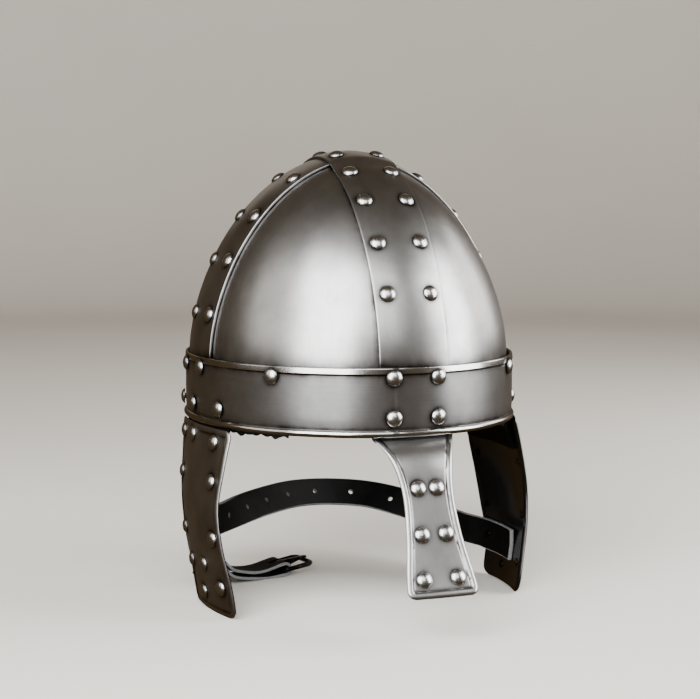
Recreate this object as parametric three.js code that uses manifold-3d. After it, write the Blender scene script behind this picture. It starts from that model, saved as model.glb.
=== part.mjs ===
// A riveted sheet steel helmet with a nose guard, two cheek guards and a leather chin strap.
// Four curved infill plates are held by a ridge strap, two side straps and a brow band.
// Millimetres, +Z up, the nose guard towards -Y, the wearer's left towards +X.
// The helmet stands on the lower edges of its cheek guards. While the pieces are made,
// z = 0 is the top edge of the brow band, and the whole is lifted to the floor at the end.

import * as THREE from 'three';
import { mergeVertices } from 'three/addons/utils/BufferGeometryUtils.js';
import Module from 'manifold-3d';

// Plan of the helmet: centre to the outer face of the brow band, at the side and in front.
const bandHalfWidth = 105;
const bandHalfLength = 116.2;

// Crown: height of the straps' outer face over the band's top edge, and the roundness of its
// profile, where 2 and 2 would be an ellipse.
const crownHeight = 126.8;
const crownRoundOut = 1.903;
const crownRoundUp = 1.719;

// Sheet walls, the gap that is left between neighbours, and the wider one where one curved
// plate laps over another.
const plateWall = 1.5;
const bandWall = 2.2;
const leatherWall = 2;
const tongueWall = 2.6;
const gap = 0.4;
const lapGap = 0.9;

// Brow band.
const bandHeight = 41.3;
const borderHeight = 3.8;
const borderRise = 0.1;
const rimBeadRadius = 2.4;
const rimFlare = 0.4;

// Crown straps, and how far each infill plate reaches under them.
const ridgeWidth = 44;
const sideStrapWidth = 47;
const infillLap = 12;
const skirtDepth = 20;
const ridgeBackDepth = 36;
const crossingRamp = 12;

// Rivets: domed head, shank and the play of the shank in its hole.
const headRadius = 4.8;
const headHeight = 2.9;
const shankRadius = 1.8;
const shankPlay = 0.3;
const headSides = 6;
const shankSides = 6;

// Rivet rows of the brow band, below its top edge, and the pairs and angles along it.
const upperRowDrop = 6.2;
const lowerRowDrop = 30;
const ridgePairHalf = 14.2;
const sidePairHalf = 15.2;
const plateRivetAngle = 48;
const hingeRivetAngles = [71, 89, 107];

// Rivet pairs up the straps: each row's height as a share of the crown height.
const ridgeRowHeights = [0.336, 0.571, 0.769, 0.906, 0.975];
const sideRowHeights = [0.208, 0.472, 0.688, 0.875];

// Nose guard. It is hidden behind the band down to the rim and then leans forward.
const nasalLength = 86;
const nasalReach = 45;
const nasalHalfWidth = 26;
const nasalTabTop = 23;

// Cheek guards.
const cheekGap = 2.2;
const cheekLength = 114;
const cheekFront = 60;
const cheekBack = 33;

// Hinge leathers inside the rim.
const hingeTop = 24;
const hingeDrop = 22;
const hingePeek = 1.8;
const hingeFrontAngle = 43;
const hingeBackAngle = 112;

// Chin strap: a long strap with holes, and a short folded strap with the buckle.
const strapWidth = 20;
const strapHoleRadius = 1.7;
const strapHoleSpacing = 29.5;
const strapHoleCount = 8;
const strapTip = 14;
const foldedPlyGap = 0.8;
const buckleWidth = 27;
const buckleLength = 21;
const buckleWire = 3.4;
const buckleBar = 3.2;
const prongWidth = 2.8;
const prongWall = 1.6;

const solids = await Module();
solids.setup();

const helmet = new THREE.Group();
const steel = { color: 0xa7a8ab, roughness: 0.34, metalness: 1 };
const blackLeather = { color: 0x17181a, roughness: 0.55, metalness: 0 };
const blackSteel = { color: 0x202124, roughness: 0.35, metalness: 0.8 };

// One closed body with its shared corners merged and its faces pointing out.
function closedBody(geometry) {
  const bare = geometry.clone();
  for (const name of Object.keys(bare.attributes)) {
    if (name !== 'position') bare.deleteAttribute(name);
  }
  const body = mergeVertices(bare, 1e-3);
  const at = body.attributes.position;
  const corners = body.index.array;
  const [a, b, c] = [new THREE.Vector3(), new THREE.Vector3(), new THREE.Vector3()];
  const kept = [];
  let volume = 0;
  for (let i = 0; i < corners.length; i += 3) {
    const [ia, ib, ic] = [corners[i], corners[i + 1], corners[i + 2]];
    if (ia === ib || ib === ic || ic === ia) continue;
    a.fromBufferAttribute(at, ia);
    b.fromBufferAttribute(at, ib);
    c.fromBufferAttribute(at, ic);
    volume += a.dot(b.cross(c));
    kept.push(ia, ib, ic);
  }
  if (volume < 0) {
    for (let i = 0; i < kept.length; i += 3) [kept[i], kept[i + 1]] = [kept[i + 1], kept[i]];
  }
  body.setIndex(kept);
  return body;
}

function toSolid(geometry) {
  const body = closedBody(geometry);
  const vertProperties = new Float32Array(body.attributes.position.array);
  const triVerts = new Uint32Array(body.index.array);
  return new solids.Manifold(new solids.Mesh({ numProp: 3, vertProperties, triVerts }));
}

function toGeometry(solid) {
  const mesh = solid.getMesh();
  const geometry = new THREE.BufferGeometry();
  geometry.setAttribute('position', new THREE.BufferAttribute(mesh.vertProperties, 3));
  geometry.setIndex(new THREE.BufferAttribute(mesh.triVerts, 1));
  return geometry;
}

function addPiece(name, geometry, look) {
  const body = closedBody(geometry);
  body.computeVertexNormals();
  const piece = new THREE.Mesh(body, new THREE.MeshStandardMaterial(look));
  piece.name = name;
  helmet.add(piece);
}

function mirrored(geometry) {
  return geometry.clone().scale(-1, 1, 1);
}

// A flat plate bent to shape: place() takes shares across, along and through the wall.
function bentPlate(across, along, place) {
  const plate = new THREE.BoxGeometry(1, 1, 1, across, along, 1);
  const at = plate.attributes.position;
  for (let i = 0; i < at.count; i += 1) {
    const p = place(at.getX(i) + 0.5, at.getY(i) + 0.5, at.getZ(i) + 0.5);
    at.setXYZ(i, p.x, p.y, p.z);
  }
  return plate;
}

// Columns of a short table, read smoothly by the share in its first column.
function smoothTable(rows) {
  const shares = rows.map((row) => row[0]);
  const values = rows.flatMap((row) => row.slice(1));
  const curve = new THREE.CubicInterpolant(shares, values, rows[0].length - 1);
  return (share) => Array.from(curve.evaluate(share));
}

function smoothStep(from, to, value) {
  return THREE.MathUtils.smoothstep(value, from, to);
}

// The crown is a nest of like shells, each at its own depth below the band's outer face.
const strapDepth = bandWall + gap;
const infillDepth = strapDepth + plateWall + lapGap;

function crownAxes(depth) {
  return {
    x: bandHalfWidth - depth,
    y: bandHalfLength - depth,
    z: crownHeight + strapDepth - depth,
  };
}

function crownShare(height) {
  return (1 - height ** crownRoundUp) ** (1 / crownRoundOut);
}

// A point of the shell at a height, on the arc between the front or back and the side.
function crownOnArc(x, z, depth) {
  const axes = crownAxes(depth);
  const share = z > 0 ? crownShare(z / axes.z) : 1;
  return new THREE.Vector3(x, -axes.y * Math.sqrt(share ** 2 - (x / axes.x) ** 2), z);
}

// The same for a side strap, which keeps its distance from the middle plane.
function crownOnSide(y, z, depth) {
  const axes = crownAxes(depth);
  const share = z > 0 ? crownShare(z / axes.z) : 1;
  return new THREE.Vector3(axes.x * Math.sqrt(share ** 2 - (y / axes.y) ** 2), y, z);
}

function crownNormal(point, depth) {
  const axes = crownAxes(depth);
  const [sx, sy, sz] = [point.x / axes.x, point.y / axes.y, point.z / axes.z];
  const plan = (sx ** 2 + sy ** 2) ** (crownRoundOut / 2 - 1) * crownRoundOut;
  const rise = sz > 0 ? (crownRoundUp * sz ** (crownRoundUp - 1)) / axes.z : 0;
  return new THREE.Vector3((plan * sx) / axes.x, (plan * sy) / axes.y, rise).normalize();
}

// Distance from the centre to the shell along a ray at a tilt over one horizontal axis, at a
// fixed offset on the other.
function crownRay(offsetShare, tilt, reach, height) {
  let near = 0;
  let far = 2 * Math.max(reach, height);
  for (let i = 0; i < 40; i += 1) {
    const middle = (near + far) / 2;
    const out = (middle * Math.cos(tilt)) / reach;
    const up = (middle * Math.sin(tilt)) / height;
    const level = (offsetShare ** 2 + out ** 2) ** (crownRoundOut / 2) + up ** crownRoundUp;
    if (level < 1) near = middle;
    else far = middle;
  }
  return near;
}

// The brow band's plan curve: a point and the outward direction at an angle from the front.
function bandPlan(angle, out = 0) {
  const [sin, cos] = [Math.sin(angle), Math.cos(angle)];
  const normal = new THREE.Vector3(sin / bandHalfWidth, -cos / bandHalfLength, 0).normalize();
  const point = new THREE.Vector3(bandHalfWidth * sin, -bandHalfLength * cos, 0);
  return { point: point.addScaledVector(normal, out), normal };
}

function bandSpot(angle, drop) {
  const { point, normal } = bandPlan(angle);
  return { at: point.setZ(-drop), out: normal };
}

// Rivets. The turned outline starts and ends on the rivet's own axis.
const domeOutline = [
  [headRadius, 0],
  [headRadius * 0.74, headHeight * 0.7],
  [0, headHeight],
];

function turned(outline, sides, spot) {
  const points = outline.map(([r, y]) => new THREE.Vector2(r, y));
  const body = new THREE.LatheGeometry(points, sides);
  const turn = new THREE.Quaternion().setFromUnitVectors(new THREE.Vector3(0, 1, 0), spot.out);
  body.applyQuaternion(turn);
  return body.translate(spot.at.x, spot.at.y, spot.at.z);
}

// A head that is one with its plate, for the rivets that are not pieces of their own.
function fusedHead(spot) {
  const root = plateWall / 2;
  return toSolid(turned([[0, -root], [headRadius, -root], ...domeOutline], headSides, spot));
}

function rivet(spot, grip) {
  const seat = domeOutline.map(([r, y]) => [r, y + gap]);
  const outline = [[0, -grip], [shankRadius, -grip], [shankRadius, gap], ...seat];
  return turned(outline, headSides, spot);
}

function drilled(solid, spots) {
  const radius = shankRadius + shankPlay;
  const [inner, outer] = [-12, 4];
  return spots.reduce((plate, spot) => {
    const bit = turned([[0, inner], [radius, inner], [radius, outer], [0, outer]], shankSides, spot);
    return plate.subtract(toSolid(bit));
  }, solid);
}

const degrees = Math.PI / 180;
const backOf = (angle) => Math.PI - angle;

function symmetricAngles(angles) {
  return angles.flatMap((angle) => [angle, -angle]);
}

// Rivet spots on the brow band.
const ridgePairAngle = Math.asin(ridgePairHalf / bandHalfWidth);
const sidePairAngle = Math.asin(sidePairHalf / bandHalfLength);
const sideAngles = [Math.PI / 2 - sidePairAngle, Math.PI / 2 + sidePairAngle];
const plateAngle = plateRivetAngle * degrees;
const ridgeUpperSpots = symmetricAngles([ridgePairAngle, backOf(ridgePairAngle)])
  .map((angle) => bandSpot(angle, upperRowDrop));
const sideUpperSpots = symmetricAngles(sideAngles).map((angle) => bandSpot(angle, upperRowDrop));
const plateSpots = symmetricAngles([plateAngle, backOf(plateAngle)])
  .map((angle) => bandSpot(angle, upperRowDrop));
const nasalTabSpots = symmetricAngles([ridgePairAngle])
  .map((angle) => bandSpot(angle, lowerRowDrop));
const backLowerSpots = symmetricAngles([backOf(ridgePairAngle)])
  .map((angle) => bandSpot(angle, lowerRowDrop));
const hingeSpots = symmetricAngles(hingeRivetAngles.map((angle) => angle * degrees))
  .map((angle) => bandSpot(angle, lowerRowDrop));
const upperSpots = [...ridgeUpperSpots, ...sideUpperSpots, ...plateSpots];
const lowerSpots = [...nasalTabSpots, ...backLowerSpots, ...hingeSpots];

// Infill plates: each fills a quarter of the crown and laps under the straps round it.
const infillColumns = 8;
const infillRows = 10;
const infillTopShare = 0.21;
const ridgeLapEdge = ridgeWidth / 2 - infillLap;
const sideLapEdge = sideStrapWidth / 2 - infillLap;

function infillQuarter() {
  return bentPlate(infillColumns, infillRows, (u, v, w) => {
    const depth = infillDepth + plateWall * (1 - w);
    const axes = crownAxes(depth);
    const row = Math.max(0, (v * infillRows - 1) / (infillRows - 1));
    const share = Math.cos((row * Math.acos(infillTopShare ** crownRoundOut)));
    const height = axes.z * (1 - share) ** (1 / crownRoundUp);
    const radius = share ** (1 / crownRoundOut);
    const from = Math.asin(ridgeLapEdge / (axes.x * radius));
    const to = Math.PI / 2 - Math.asin(sideLapEdge / (axes.y * radius));
    const angle = THREE.MathUtils.lerp(from, to, u);
    const x = axes.x * radius * Math.sin(angle);
    const y = -axes.y * radius * Math.cos(angle);
    return new THREE.Vector3(x, y, v === 0 ? -skirtDepth : height);
  });
}

const quarter = infillQuarter();
const infillPlates = {
  infill_front_left: quarter,
  infill_front_right: mirrored(quarter),
  infill_back_left: quarter.clone().scale(1, -1, 1),
  infill_back_right: mirrored(quarter).scale(1, -1, 1),
};
for (const [name, geometry] of Object.entries(infillPlates)) {
  addPiece(name, toGeometry(drilled(toSolid(geometry), upperSpots)), steel);
}

// Ridge strap: front to back over the crown, lifted where it crosses the side straps.
const ridgeRows = 28;
const crossingLift = plateWall + lapGap;

function ridgePoint(x, turn, depth) {
  const axes = crownAxes(depth);
  const out = crownRay(x / axes.x, turn > Math.PI / 2 ? Math.PI - turn : turn, axes.y, axes.z);
  return new THREE.Vector3(x, -out * Math.cos(turn), out * Math.sin(turn));
}

function ridgeDepth(x, turn, depth) {
  const away = Math.abs(ridgePoint(x, turn, depth).y) - sideStrapWidth / 2 - gap;
  return depth - crossingLift * (1 - smoothStep(0, crossingRamp, away));
}

function ridgeStrap() {
  return bentPlate(3, ridgeRows + 2, (u, v, w) => {
    const x = (u - 0.5) * ridgeWidth;
    const depth = strapDepth + plateWall * (1 - w);
    const row = v * (ridgeRows + 2) - 1;
    const turn = THREE.MathUtils.clamp(row / ridgeRows, 0, 1) * Math.PI;
    const point = ridgePoint(x, turn, ridgeDepth(x, turn, depth));
    if (row < -0.5) point.z = -skirtDepth;
    if (row > ridgeRows + 0.5) point.z = -ridgeBackDepth;
    return point;
  });
}

function strapSpot(point, depth) {
  return { at: point, out: crownNormal(point, depth) };
}

const ridgeHeads = ridgeRowHeights.flatMap((height) => [-1, 1].map((side) => {
  const low = crownOnArc(side * (ridgePairHalf - gap), height * crownHeight, strapDepth);
  const turn = Math.atan2(low.z, -low.y);
  const depth = ridgeDepth(low.x, turn, strapDepth);
  return strapSpot(ridgePoint(low.x, turn, depth), depth);
}));
const ridgeBackHeads = ridgeHeads.map(({ at, out }) => ({
  at: at.clone().setY(-at.y),
  out: out.clone().setY(-out.y),
}));
const ridgeWithHeads = [...ridgeHeads, ...ridgeBackHeads]
  .reduce((strap, spot) => strap.add(fusedHead(spot)), toSolid(ridgeStrap()));
addPiece('ridge_strap', toGeometry(drilled(ridgeWithHeads, [...ridgeUpperSpots, ...backLowerSpots])), steel);

// Side straps: from the band up to the middle of the crown, under the ridge strap.
const sideRows = 13;
const sideStrapEnd = 5;

function sideStrap() {
  return bentPlate(3, sideRows + 1, (u, v, w) => {
    const y = (u - 0.5) * sideStrapWidth;
    const depth = strapDepth + plateWall * (1 - w);
    const axes = crownAxes(depth);
    const row = Math.max(0, v * (sideRows + 1) - 1) / sideRows;
    const lastTurn = Math.atan2(axes.z, sideStrapEnd);
    const turn = row * lastTurn;
    const out = crownRay(y / axes.y, turn, axes.x, axes.z);
    const z = v === 0 ? -skirtDepth : out * Math.sin(turn);
    return new THREE.Vector3(out * Math.cos(turn), y, z);
  });
}

const sideHeads = sideRowHeights.flatMap((height) => [-1, 1].map((end) => {
  const point = crownOnSide(end * (sidePairHalf - gap), height * crownHeight, strapDepth);
  return strapSpot(point, strapDepth);
}));
const sideWithHeads = sideHeads
  .reduce((strap, spot) => strap.add(fusedHead(spot)), toSolid(sideStrap()));
const leftSideStrap = toGeometry(drilled(sideWithHeads, sideUpperSpots));
addPiece('side_strap_left', leftSideStrap, steel);
addPiece('side_strap_right', mirrored(leftSideStrap), steel);

// Brow band: a turned ring with a raised top border and a rolled rim, drawn to the oval plan.
const bandSides = 60;
const beadTurns = [60, 0, -60, -120];

function browBand() {
  const beadDrop = bandHeight - rimBeadRadius;
  const bead = beadTurns.map((turn) => [
    rimFlare + rimBeadRadius * (Math.cos(turn * degrees) - 0.4),
    -beadDrop + rimBeadRadius * Math.sin(turn * degrees),
  ]);
  const section = [
    [-bandWall, 0],
    [borderRise, 0],
    [borderRise, -borderHeight],
    [0, -borderHeight - gap / 2],
    [0, -beadDrop + rimBeadRadius],
    ...bead,
    [-bandWall, -beadDrop],
    [-bandWall, 0],
  ];
  const points = section.map(([out, z]) => new THREE.Vector2(bandHalfWidth + out, z));
  const ring = new THREE.LatheGeometry(points, bandSides).rotateX(Math.PI / 2);
  const at = ring.attributes.position;
  for (let i = 0; i < at.count; i += 1) {
    const angle = Math.atan2(at.getX(i), -at.getY(i));
    const out = Math.hypot(at.getX(i), at.getY(i)) - bandHalfWidth;
    const { point } = bandPlan(angle, out);
    at.setXY(i, point.x, point.y);
  }
  return ring;
}

const band = drilled(toSolid(browBand()), [...upperSpots, ...lowerSpots]);
addPiece('brow_band', toGeometry(band), steel);

// Nose guard. Columns: share of the length below the rim, reach forward, half width.
const nasalTable = smoothTable([
  [0, 0, 1],
  [0.1, 0.22, 0.8],
  [0.31, 0.42, 0.63],
  [0.61, 0.65, 0.67],
  [0.9, 0.9, 0.83],
  [1, 1, 0.87],
]);
const nasalCorner = 0.12;
const nasalBack = bandHalfLength - strapDepth;
const nasalRim = bandHeight + gap;
const nasalRows = 10;
const nasalTabRows = 1;
const nasalRivetRows = [[0.314, 0.36], [0.607, 0.44], [0.885, 0.5]];

// How much of the band's own plan curve the guard still has at a share of its length.
function nasalCurve(share) {
  return 0.25 + 0.75 * (1 - smoothStep(0, 0.35, share));
}

function nasalPoint(across, share, through) {
  const [reach, halfWidth] = nasalTable(share);
  const corner = Math.max(0, share - (1 - nasalCorner / 4)) / (nasalCorner / 4);
  const x = across * (halfWidth - nasalCorner * corner * 0.9) * nasalHalfWidth;
  const axes = crownAxes(strapDepth);
  const sag = axes.y * (1 - Math.sqrt(1 - (x / axes.x) ** 2)) * nasalCurve(share);
  const lean = Math.atan2(nasalReach, nasalLength) * smoothStep(0, 0.2, share);
  const front = nasalBack + reach * nasalReach;
  const z = -nasalRim - share * nasalLength;
  const wall = plateWall * (1 - through);
  return new THREE.Vector3(x, -front + sag + wall * Math.cos(lean), z - wall * Math.sin(lean));
}

function nasalPlate() {
  return bentPlate(4, nasalTabRows + nasalRows, (u, v, w) => {
    const across = 2 * u - 1;
    const row = (1 - v) * (nasalTabRows + nasalRows) - nasalTabRows;
    if (row > 0) return nasalPoint(across, row / nasalRows, w);
    const top = nasalPoint(across, 0, w);
    top.z = THREE.MathUtils.lerp(-nasalRim, -nasalTabTop, -row / nasalTabRows);
    return top;
  });
}

function nasalSpot(across, share) {
  const at = nasalPoint(across, share, 1);
  const up = nasalPoint(across, share - 0.01, 1).sub(at);
  const over = nasalPoint(across + 0.01, share, 1).sub(at);
  return { at, out: over.cross(up).normalize() };
}

const nasalSpots = nasalRivetRows.flatMap(([share, across]) => [
  nasalSpot(-across, share),
  nasalSpot(across, share),
]);
const nasal = drilled(toSolid(nasalPlate()), [...nasalTabSpots, ...nasalSpots]);
addPiece('nasal', toGeometry(nasal), steel);

// Cheek guards. Columns: share of the length, front edge, distance out there, back edge,
// distance out there, and the bulge of the plate between its edges. Edges are shares of the
// front and back reach, distances and the bulge are shares of the band's half width.
const cheekTable = smoothTable([
  [0, 0.885, 0.91, 0.97, 0.964, 0.056],
  [0.18, 0.887, 0.954, 1, 0.971, 0.052],
  [0.4, 0.885, 0.993, 0.83, 0.996, 0.047],
  [0.6, 0.94, 0.981, 0.56, 1.002, 0.042],
  [0.8, 1, 0.938, 0.2, 0.99, 0.037],
  [0.965, 0.995, 0.91, 0.14, 0.966, 0.033],
  [1, 0.95, 0.905, 0.1, 0.962, 0.031],
]);
const cheekTop = bandHeight + cheekGap;
const standHeight = cheekTop + cheekLength;
const cheekRows = 9;

function cheekPoint(across, share, depth) {
  const [front, frontOut, back, backOut, bulge] = cheekTable(share);
  const y = THREE.MathUtils.lerp(-front * cheekFront, back * cheekBack, across);
  const out = THREE.MathUtils.lerp(frontOut, backOut, across) + 4 * bulge * across * (1 - across);
  return new THREE.Vector3(out * bandHalfWidth - depth, y, -cheekTop - share * cheekLength);
}

// Distance out of the guard's outer face at a place given by y and the drop below the band.
function cheekOut(y, drop) {
  const share = THREE.MathUtils.clamp((drop - cheekTop) / cheekLength, 0, 1);
  const [front, , back] = cheekTable(share);
  const across = (y + front * cheekFront) / (back * cheekBack + front * cheekFront);
  return cheekPoint(THREE.MathUtils.clamp(across, 0, 1), share, 0).x;
}

function cheekPlate() {
  return bentPlate(5, cheekRows, (u, v, w) => cheekPoint(u, 1 - v, plateWall * (1 - w)));
}

function cheekSpot(y, drop) {
  const at = new THREE.Vector3(cheekOut(y, drop), y, -drop);
  const over = new THREE.Vector3(cheekOut(y + 1, drop), y + 1, -drop).sub(at);
  const up = new THREE.Vector3(cheekOut(y, drop - 1), y, 1 - drop).sub(at);
  return { at, out: over.cross(up).normalize() };
}

// Rivets of a guard. Columns: y as a share of the front reach, share of the length.
const cheekHingeRows = [[-0.6, 0.062], [-0.03, 0.052], [0.4, 0.062]];
const cheekStrapRows = [[-0.46, 0.74], [-0.01, 0.76]];
const cheekPlainRows = [
  [-0.67, 0.27], [-0.76, 0.572], [0.36, 0.29], [0.16, 0.59], [-0.8, 0.84], [-0.34, 0.905],
];

function cheekSpots(rows) {
  return rows.map(([y, share]) => cheekSpot(y * cheekFront, cheekTop + share * cheekLength));
}

const cheekHingeSpots = cheekSpots(cheekHingeRows);
const cheekStrapSpots = cheekSpots(cheekStrapRows);
const cheekWithHeads = cheekSpots(cheekPlainRows)
  .reduce((plate, spot) => plate.add(fusedHead(spot)), toSolid(cheekPlate()));
const leftCheek = toGeometry(drilled(cheekWithHeads, [...cheekHingeSpots, ...cheekStrapSpots]));
addPiece('cheek_guard_left', leftCheek, steel);
addPiece('cheek_guard_right', mirrored(leftCheek), steel);

// Hinge leathers: behind the band above, behind the cheek guard below. Forward of the guard
// the leather only shows a narrow edge under the rim.
const hingeColumns = 10;
const hingeLevels = [hingeTop, bandHeight + gap, cheekTop + 5, cheekTop + hingeDrop];

function hingeLeather() {
  return bentPlate(hingeColumns, hingeLevels.length - 1, (u, v, w) => {
    const angle = THREE.MathUtils.lerp(hingeFrontAngle, hingeBackAngle, u) * degrees;
    const wall = leatherWall * (1 - w);
    const { point } = bandPlan(angle, -strapDepth - gap / 2 - wall);
    const guard = point.y > -cheekFront * 0.8 && point.y < cheekBack * 0.9;
    const level = hingeLevels[Math.round((1 - v) * (hingeLevels.length - 1))];
    const lowest = bandHeight + hingePeek;
    const drop = guard ? level : hingeTop + ((level - hingeTop) / (hingeLevels.at(-1) - hingeTop))
      * (lowest - hingeTop);
    const behindGuard = cheekOut(point.y, drop) - plateWall - gap - wall;
    const below = guard && drop > cheekTop;
    return new THREE.Vector3(below ? behindGuard : point.x, point.y, -drop);
  });
}

const leftHinge = toGeometry(drilled(toSolid(hingeLeather()), [...hingeSpots, ...cheekHingeSpots]));
addPiece('hinge_leather_left', leftHinge, blackLeather);
addPiece('hinge_leather_right', mirrored(leftHinge), blackLeather);

// Chin strap. The long strap runs on edge from the left guard round behind to the right one,
// where its free end leans on the guard. Columns: shares of the band's half width and half
// length, and of the standing height below the band's top edge.
const tongueRoute = [
  [-0.829, -0.017, 0.667],
  [-0.6, 0.224, 0.67],
  [-0.343, 0.465, 0.676],
  [-0.076, 0.663, 0.686],
  [0.19, 0.749, 0.702],
  [0.438, 0.723, 0.721],
  [0.629, 0.594, 0.749],
  [0.781, 0.387, 0.784],
  [0.876, 0.189, 0.812],
];
const tongueSeatDrop = 0.824;
const tongueEndDrop = 0.66;
const behindGuard = plateWall + gap;

function insideGuard(side, yShare, dropShare, wall) {
  const y = yShare * cheekFront;
  const drop = dropShare * standHeight;
  const x = side * (cheekOut(y, drop) - behindGuard - wall / 2);
  return new THREE.Vector3(x, y, -drop);
}

// Presses a strap against the inside of a guard: no point comes nearer to the guard's inner
// face than its own depth below the strap's outer face.
function pressed(point, depth) {
  const limit = cheekOut(point.y, -point.z) - behindGuard - depth;
  return point.setX(THREE.MathUtils.clamp(point.x, -limit, limit));
}

function sharedPoint([x, y, drop]) {
  return new THREE.Vector3(x * bandHalfWidth, y * bandHalfLength, -drop * standHeight);
}

const tongueCurve = new THREE.CatmullRomCurve3([
  insideGuard(-1, -0.72, tongueEndDrop, tongueWall),
  insideGuard(-1, -0.42, tongueEndDrop, tongueWall + 2 * gap),
  ...tongueRoute.map(sharedPoint),
  insideGuard(1, 0.02, tongueSeatDrop, tongueWall),
  insideGuard(1, -0.24, tongueSeatDrop, tongueWall),
  insideGuard(1, -0.46, tongueSeatDrop, tongueWall),
  insideGuard(1, -0.63, tongueSeatDrop, tongueWall),
], false, 'centripetal');
const tongueLength = tongueCurve.getLength();
const tongueSteps = 34;
const upward = new THREE.Vector3(0, 0, 1);

// Round the back the strap leans, its upper edge outwards. It stands upright at both guards.
const tongueLean = 33;

function tongueAt(along) {
  const at = tongueCurve.getPointAt(along);
  const onward = tongueCurve.getTangentAt(along);
  const lean = tongueLean * degrees * (smoothStep(0.12, 0.3, along) - smoothStep(0.6, 0.8, along));
  const inward = onward.clone().cross(upward).normalize();
  const upright = inward.clone().cross(onward).normalize();
  const out = inward.multiplyScalar(Math.cos(lean)).addScaledVector(upright, Math.sin(lean));
  return { at, out, up: out.clone().cross(onward).normalize() };
}

const tongueStrap = bentPlate(1, tongueSteps, (u, v, w) => {
  const { at, out, up } = tongueAt(v);
  const taper = Math.min(1, 0.45 + (0.55 * v * tongueLength) / strapTip);
  const point = at.addScaledVector(out, (w - 0.5) * tongueWall)
    .addScaledVector(up, (u - 0.5) * strapWidth * taper);
  return pressed(point, w * tongueWall);
});

const tongueHoles = Array.from({ length: strapHoleCount }, (_, i) => {
  const { at, out } = tongueAt((2 * strapTip + i * strapHoleSpacing) / tongueLength);
  const outline = [[0, -tongueWall], [strapHoleRadius, -tongueWall],
    [strapHoleRadius, tongueWall], [0, tongueWall]];
  return toSolid(turned(outline, shankSides, { at, out }));
});
const punchedTongue = tongueHoles.reduce((strap, hole) => strap.subtract(hole), toSolid(tongueStrap));
addPiece('tongue_strap', toGeometry(drilled(punchedTongue, cheekStrapSpots)), blackLeather);

// The buckle strap is doubled over the buckle's bar. It leaves the right guard backwards,
// turns flat and lies on the floor. Columns as for the long strap, and the turn to flat.
const barRadius = buckleBar / 2;
const foldShut = (foldedPlyGap + leatherWall) / 2;
const barCorner = barRadius * Math.SQRT2;
const foldOpen = barCorner + gap + leatherWall / 2;
const foldOpensFrom = 0.78;

function lyingDrop(foldHalf) {
  return standHeight - gap - foldHalf - leatherWall / 2;
}

const buckleRoute = [
  [-0.945, 0.1, 0.845],
  [-0.84, 0.24, 0.9],
  [-0.68, 0.335, 0.96],
];
const buckleEnd = [-0.3, 0.425];
const buckleMiddle = [-0.48, 0.395];
const buckleSeatWall = 2 * foldShut + leatherWall;
const buckleCurve = new THREE.CatmullRomCurve3([
  insideGuard(-1, -0.62, 0.826, buckleSeatWall),
  insideGuard(-1, -0.46, 0.826, buckleSeatWall),
  insideGuard(-1, -0.24, 0.828, buckleSeatWall),
  insideGuard(-1, -0.01, 0.832, buckleSeatWall),
  ...buckleRoute.map(sharedPoint),
  sharedPoint([...buckleMiddle, lyingDrop(foldShut) / standHeight]),
  sharedPoint([...buckleEnd, lyingDrop(foldOpen) / standHeight]),
], false, 'centripetal');
const flatFrom = 0.36;
const flatTo = 0.68;

function buckleFrameAt(share) {
  const at = buckleCurve.getPointAt(THREE.MathUtils.clamp(share, 0, 1));
  const onward = buckleCurve.getTangentAt(THREE.MathUtils.clamp(share, 0, 1));
  const level = new THREE.Vector3(0, 0, 1).cross(onward).normalize();
  const up = onward.clone().cross(level).normalize();
  const turn = (Math.PI / 2) * (1 - smoothStep(flatFrom, flatTo, share));
  const through = up.clone().multiplyScalar(Math.cos(turn)).addScaledVector(level, Math.sin(turn));
  const across = through.clone().cross(onward).normalize();
  return { at, onward, through, across };
}

// Along the doubled strap: out on one ply, round the bar, and back on the other.
const foldSteps = 4;
const plySteps = 14;

const buckleStrapGeometry = bentPlate(1, 2 * plySteps + foldSteps, (u, v, w) => {
  const step = v * (2 * plySteps + foldSteps);
  const ply = (w - 0.5) * leatherWall;
  let share = Math.min(step, 2 * plySteps + foldSteps - step) / plySteps;
  const foldHalf = THREE.MathUtils.lerp(foldShut, foldOpen, smoothStep(foldOpensFrom, 1, share));
  let offset = step <= plySteps ? foldHalf + ply : -foldHalf - ply;
  let beyond = 0;
  if (share > 1) {
    const turn = ((step - plySteps) / foldSteps) * Math.PI;
    offset = (foldHalf + ply) * Math.cos(turn);
    beyond = (foldHalf + ply) * Math.sin(turn);
    share = 1;
  }
  const { at, onward, through, across } = buckleFrameAt(share);
  const point = at.addScaledVector(through, offset)
    .addScaledVector(onward, beyond)
    .addScaledVector(across, (u - 0.5) * strapWidth);
  return pressed(point, foldHalf + leatherWall / 2 - offset);
});

// The buckle's own frame of reference, at the middle of its bar.
const barFrame = buckleFrameAt(1);
const buckleMatrix = new THREE.Matrix4()
  .makeBasis(barFrame.onward, barFrame.across, barFrame.through)
  .setPosition(barFrame.at);

const prongSlot = new THREE.BoxGeometry(
  3 * foldOpen + 2 * leatherWall,
  prongWidth + 4 * gap,
  3 * foldOpen,
).applyMatrix4(buckleMatrix);
const rightStrapSpots = cheekStrapSpots.map(({ at, out }) => ({
  at: at.clone().setX(-at.x),
  out: out.clone().setX(-out.x),
}));
const buckleStrap = drilled(toSolid(buckleStrapGeometry).subtract(toSolid(prongSlot)), rightStrapSpots);
addPiece('buckle_strap', toGeometry(buckleStrap), blackLeather);

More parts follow.
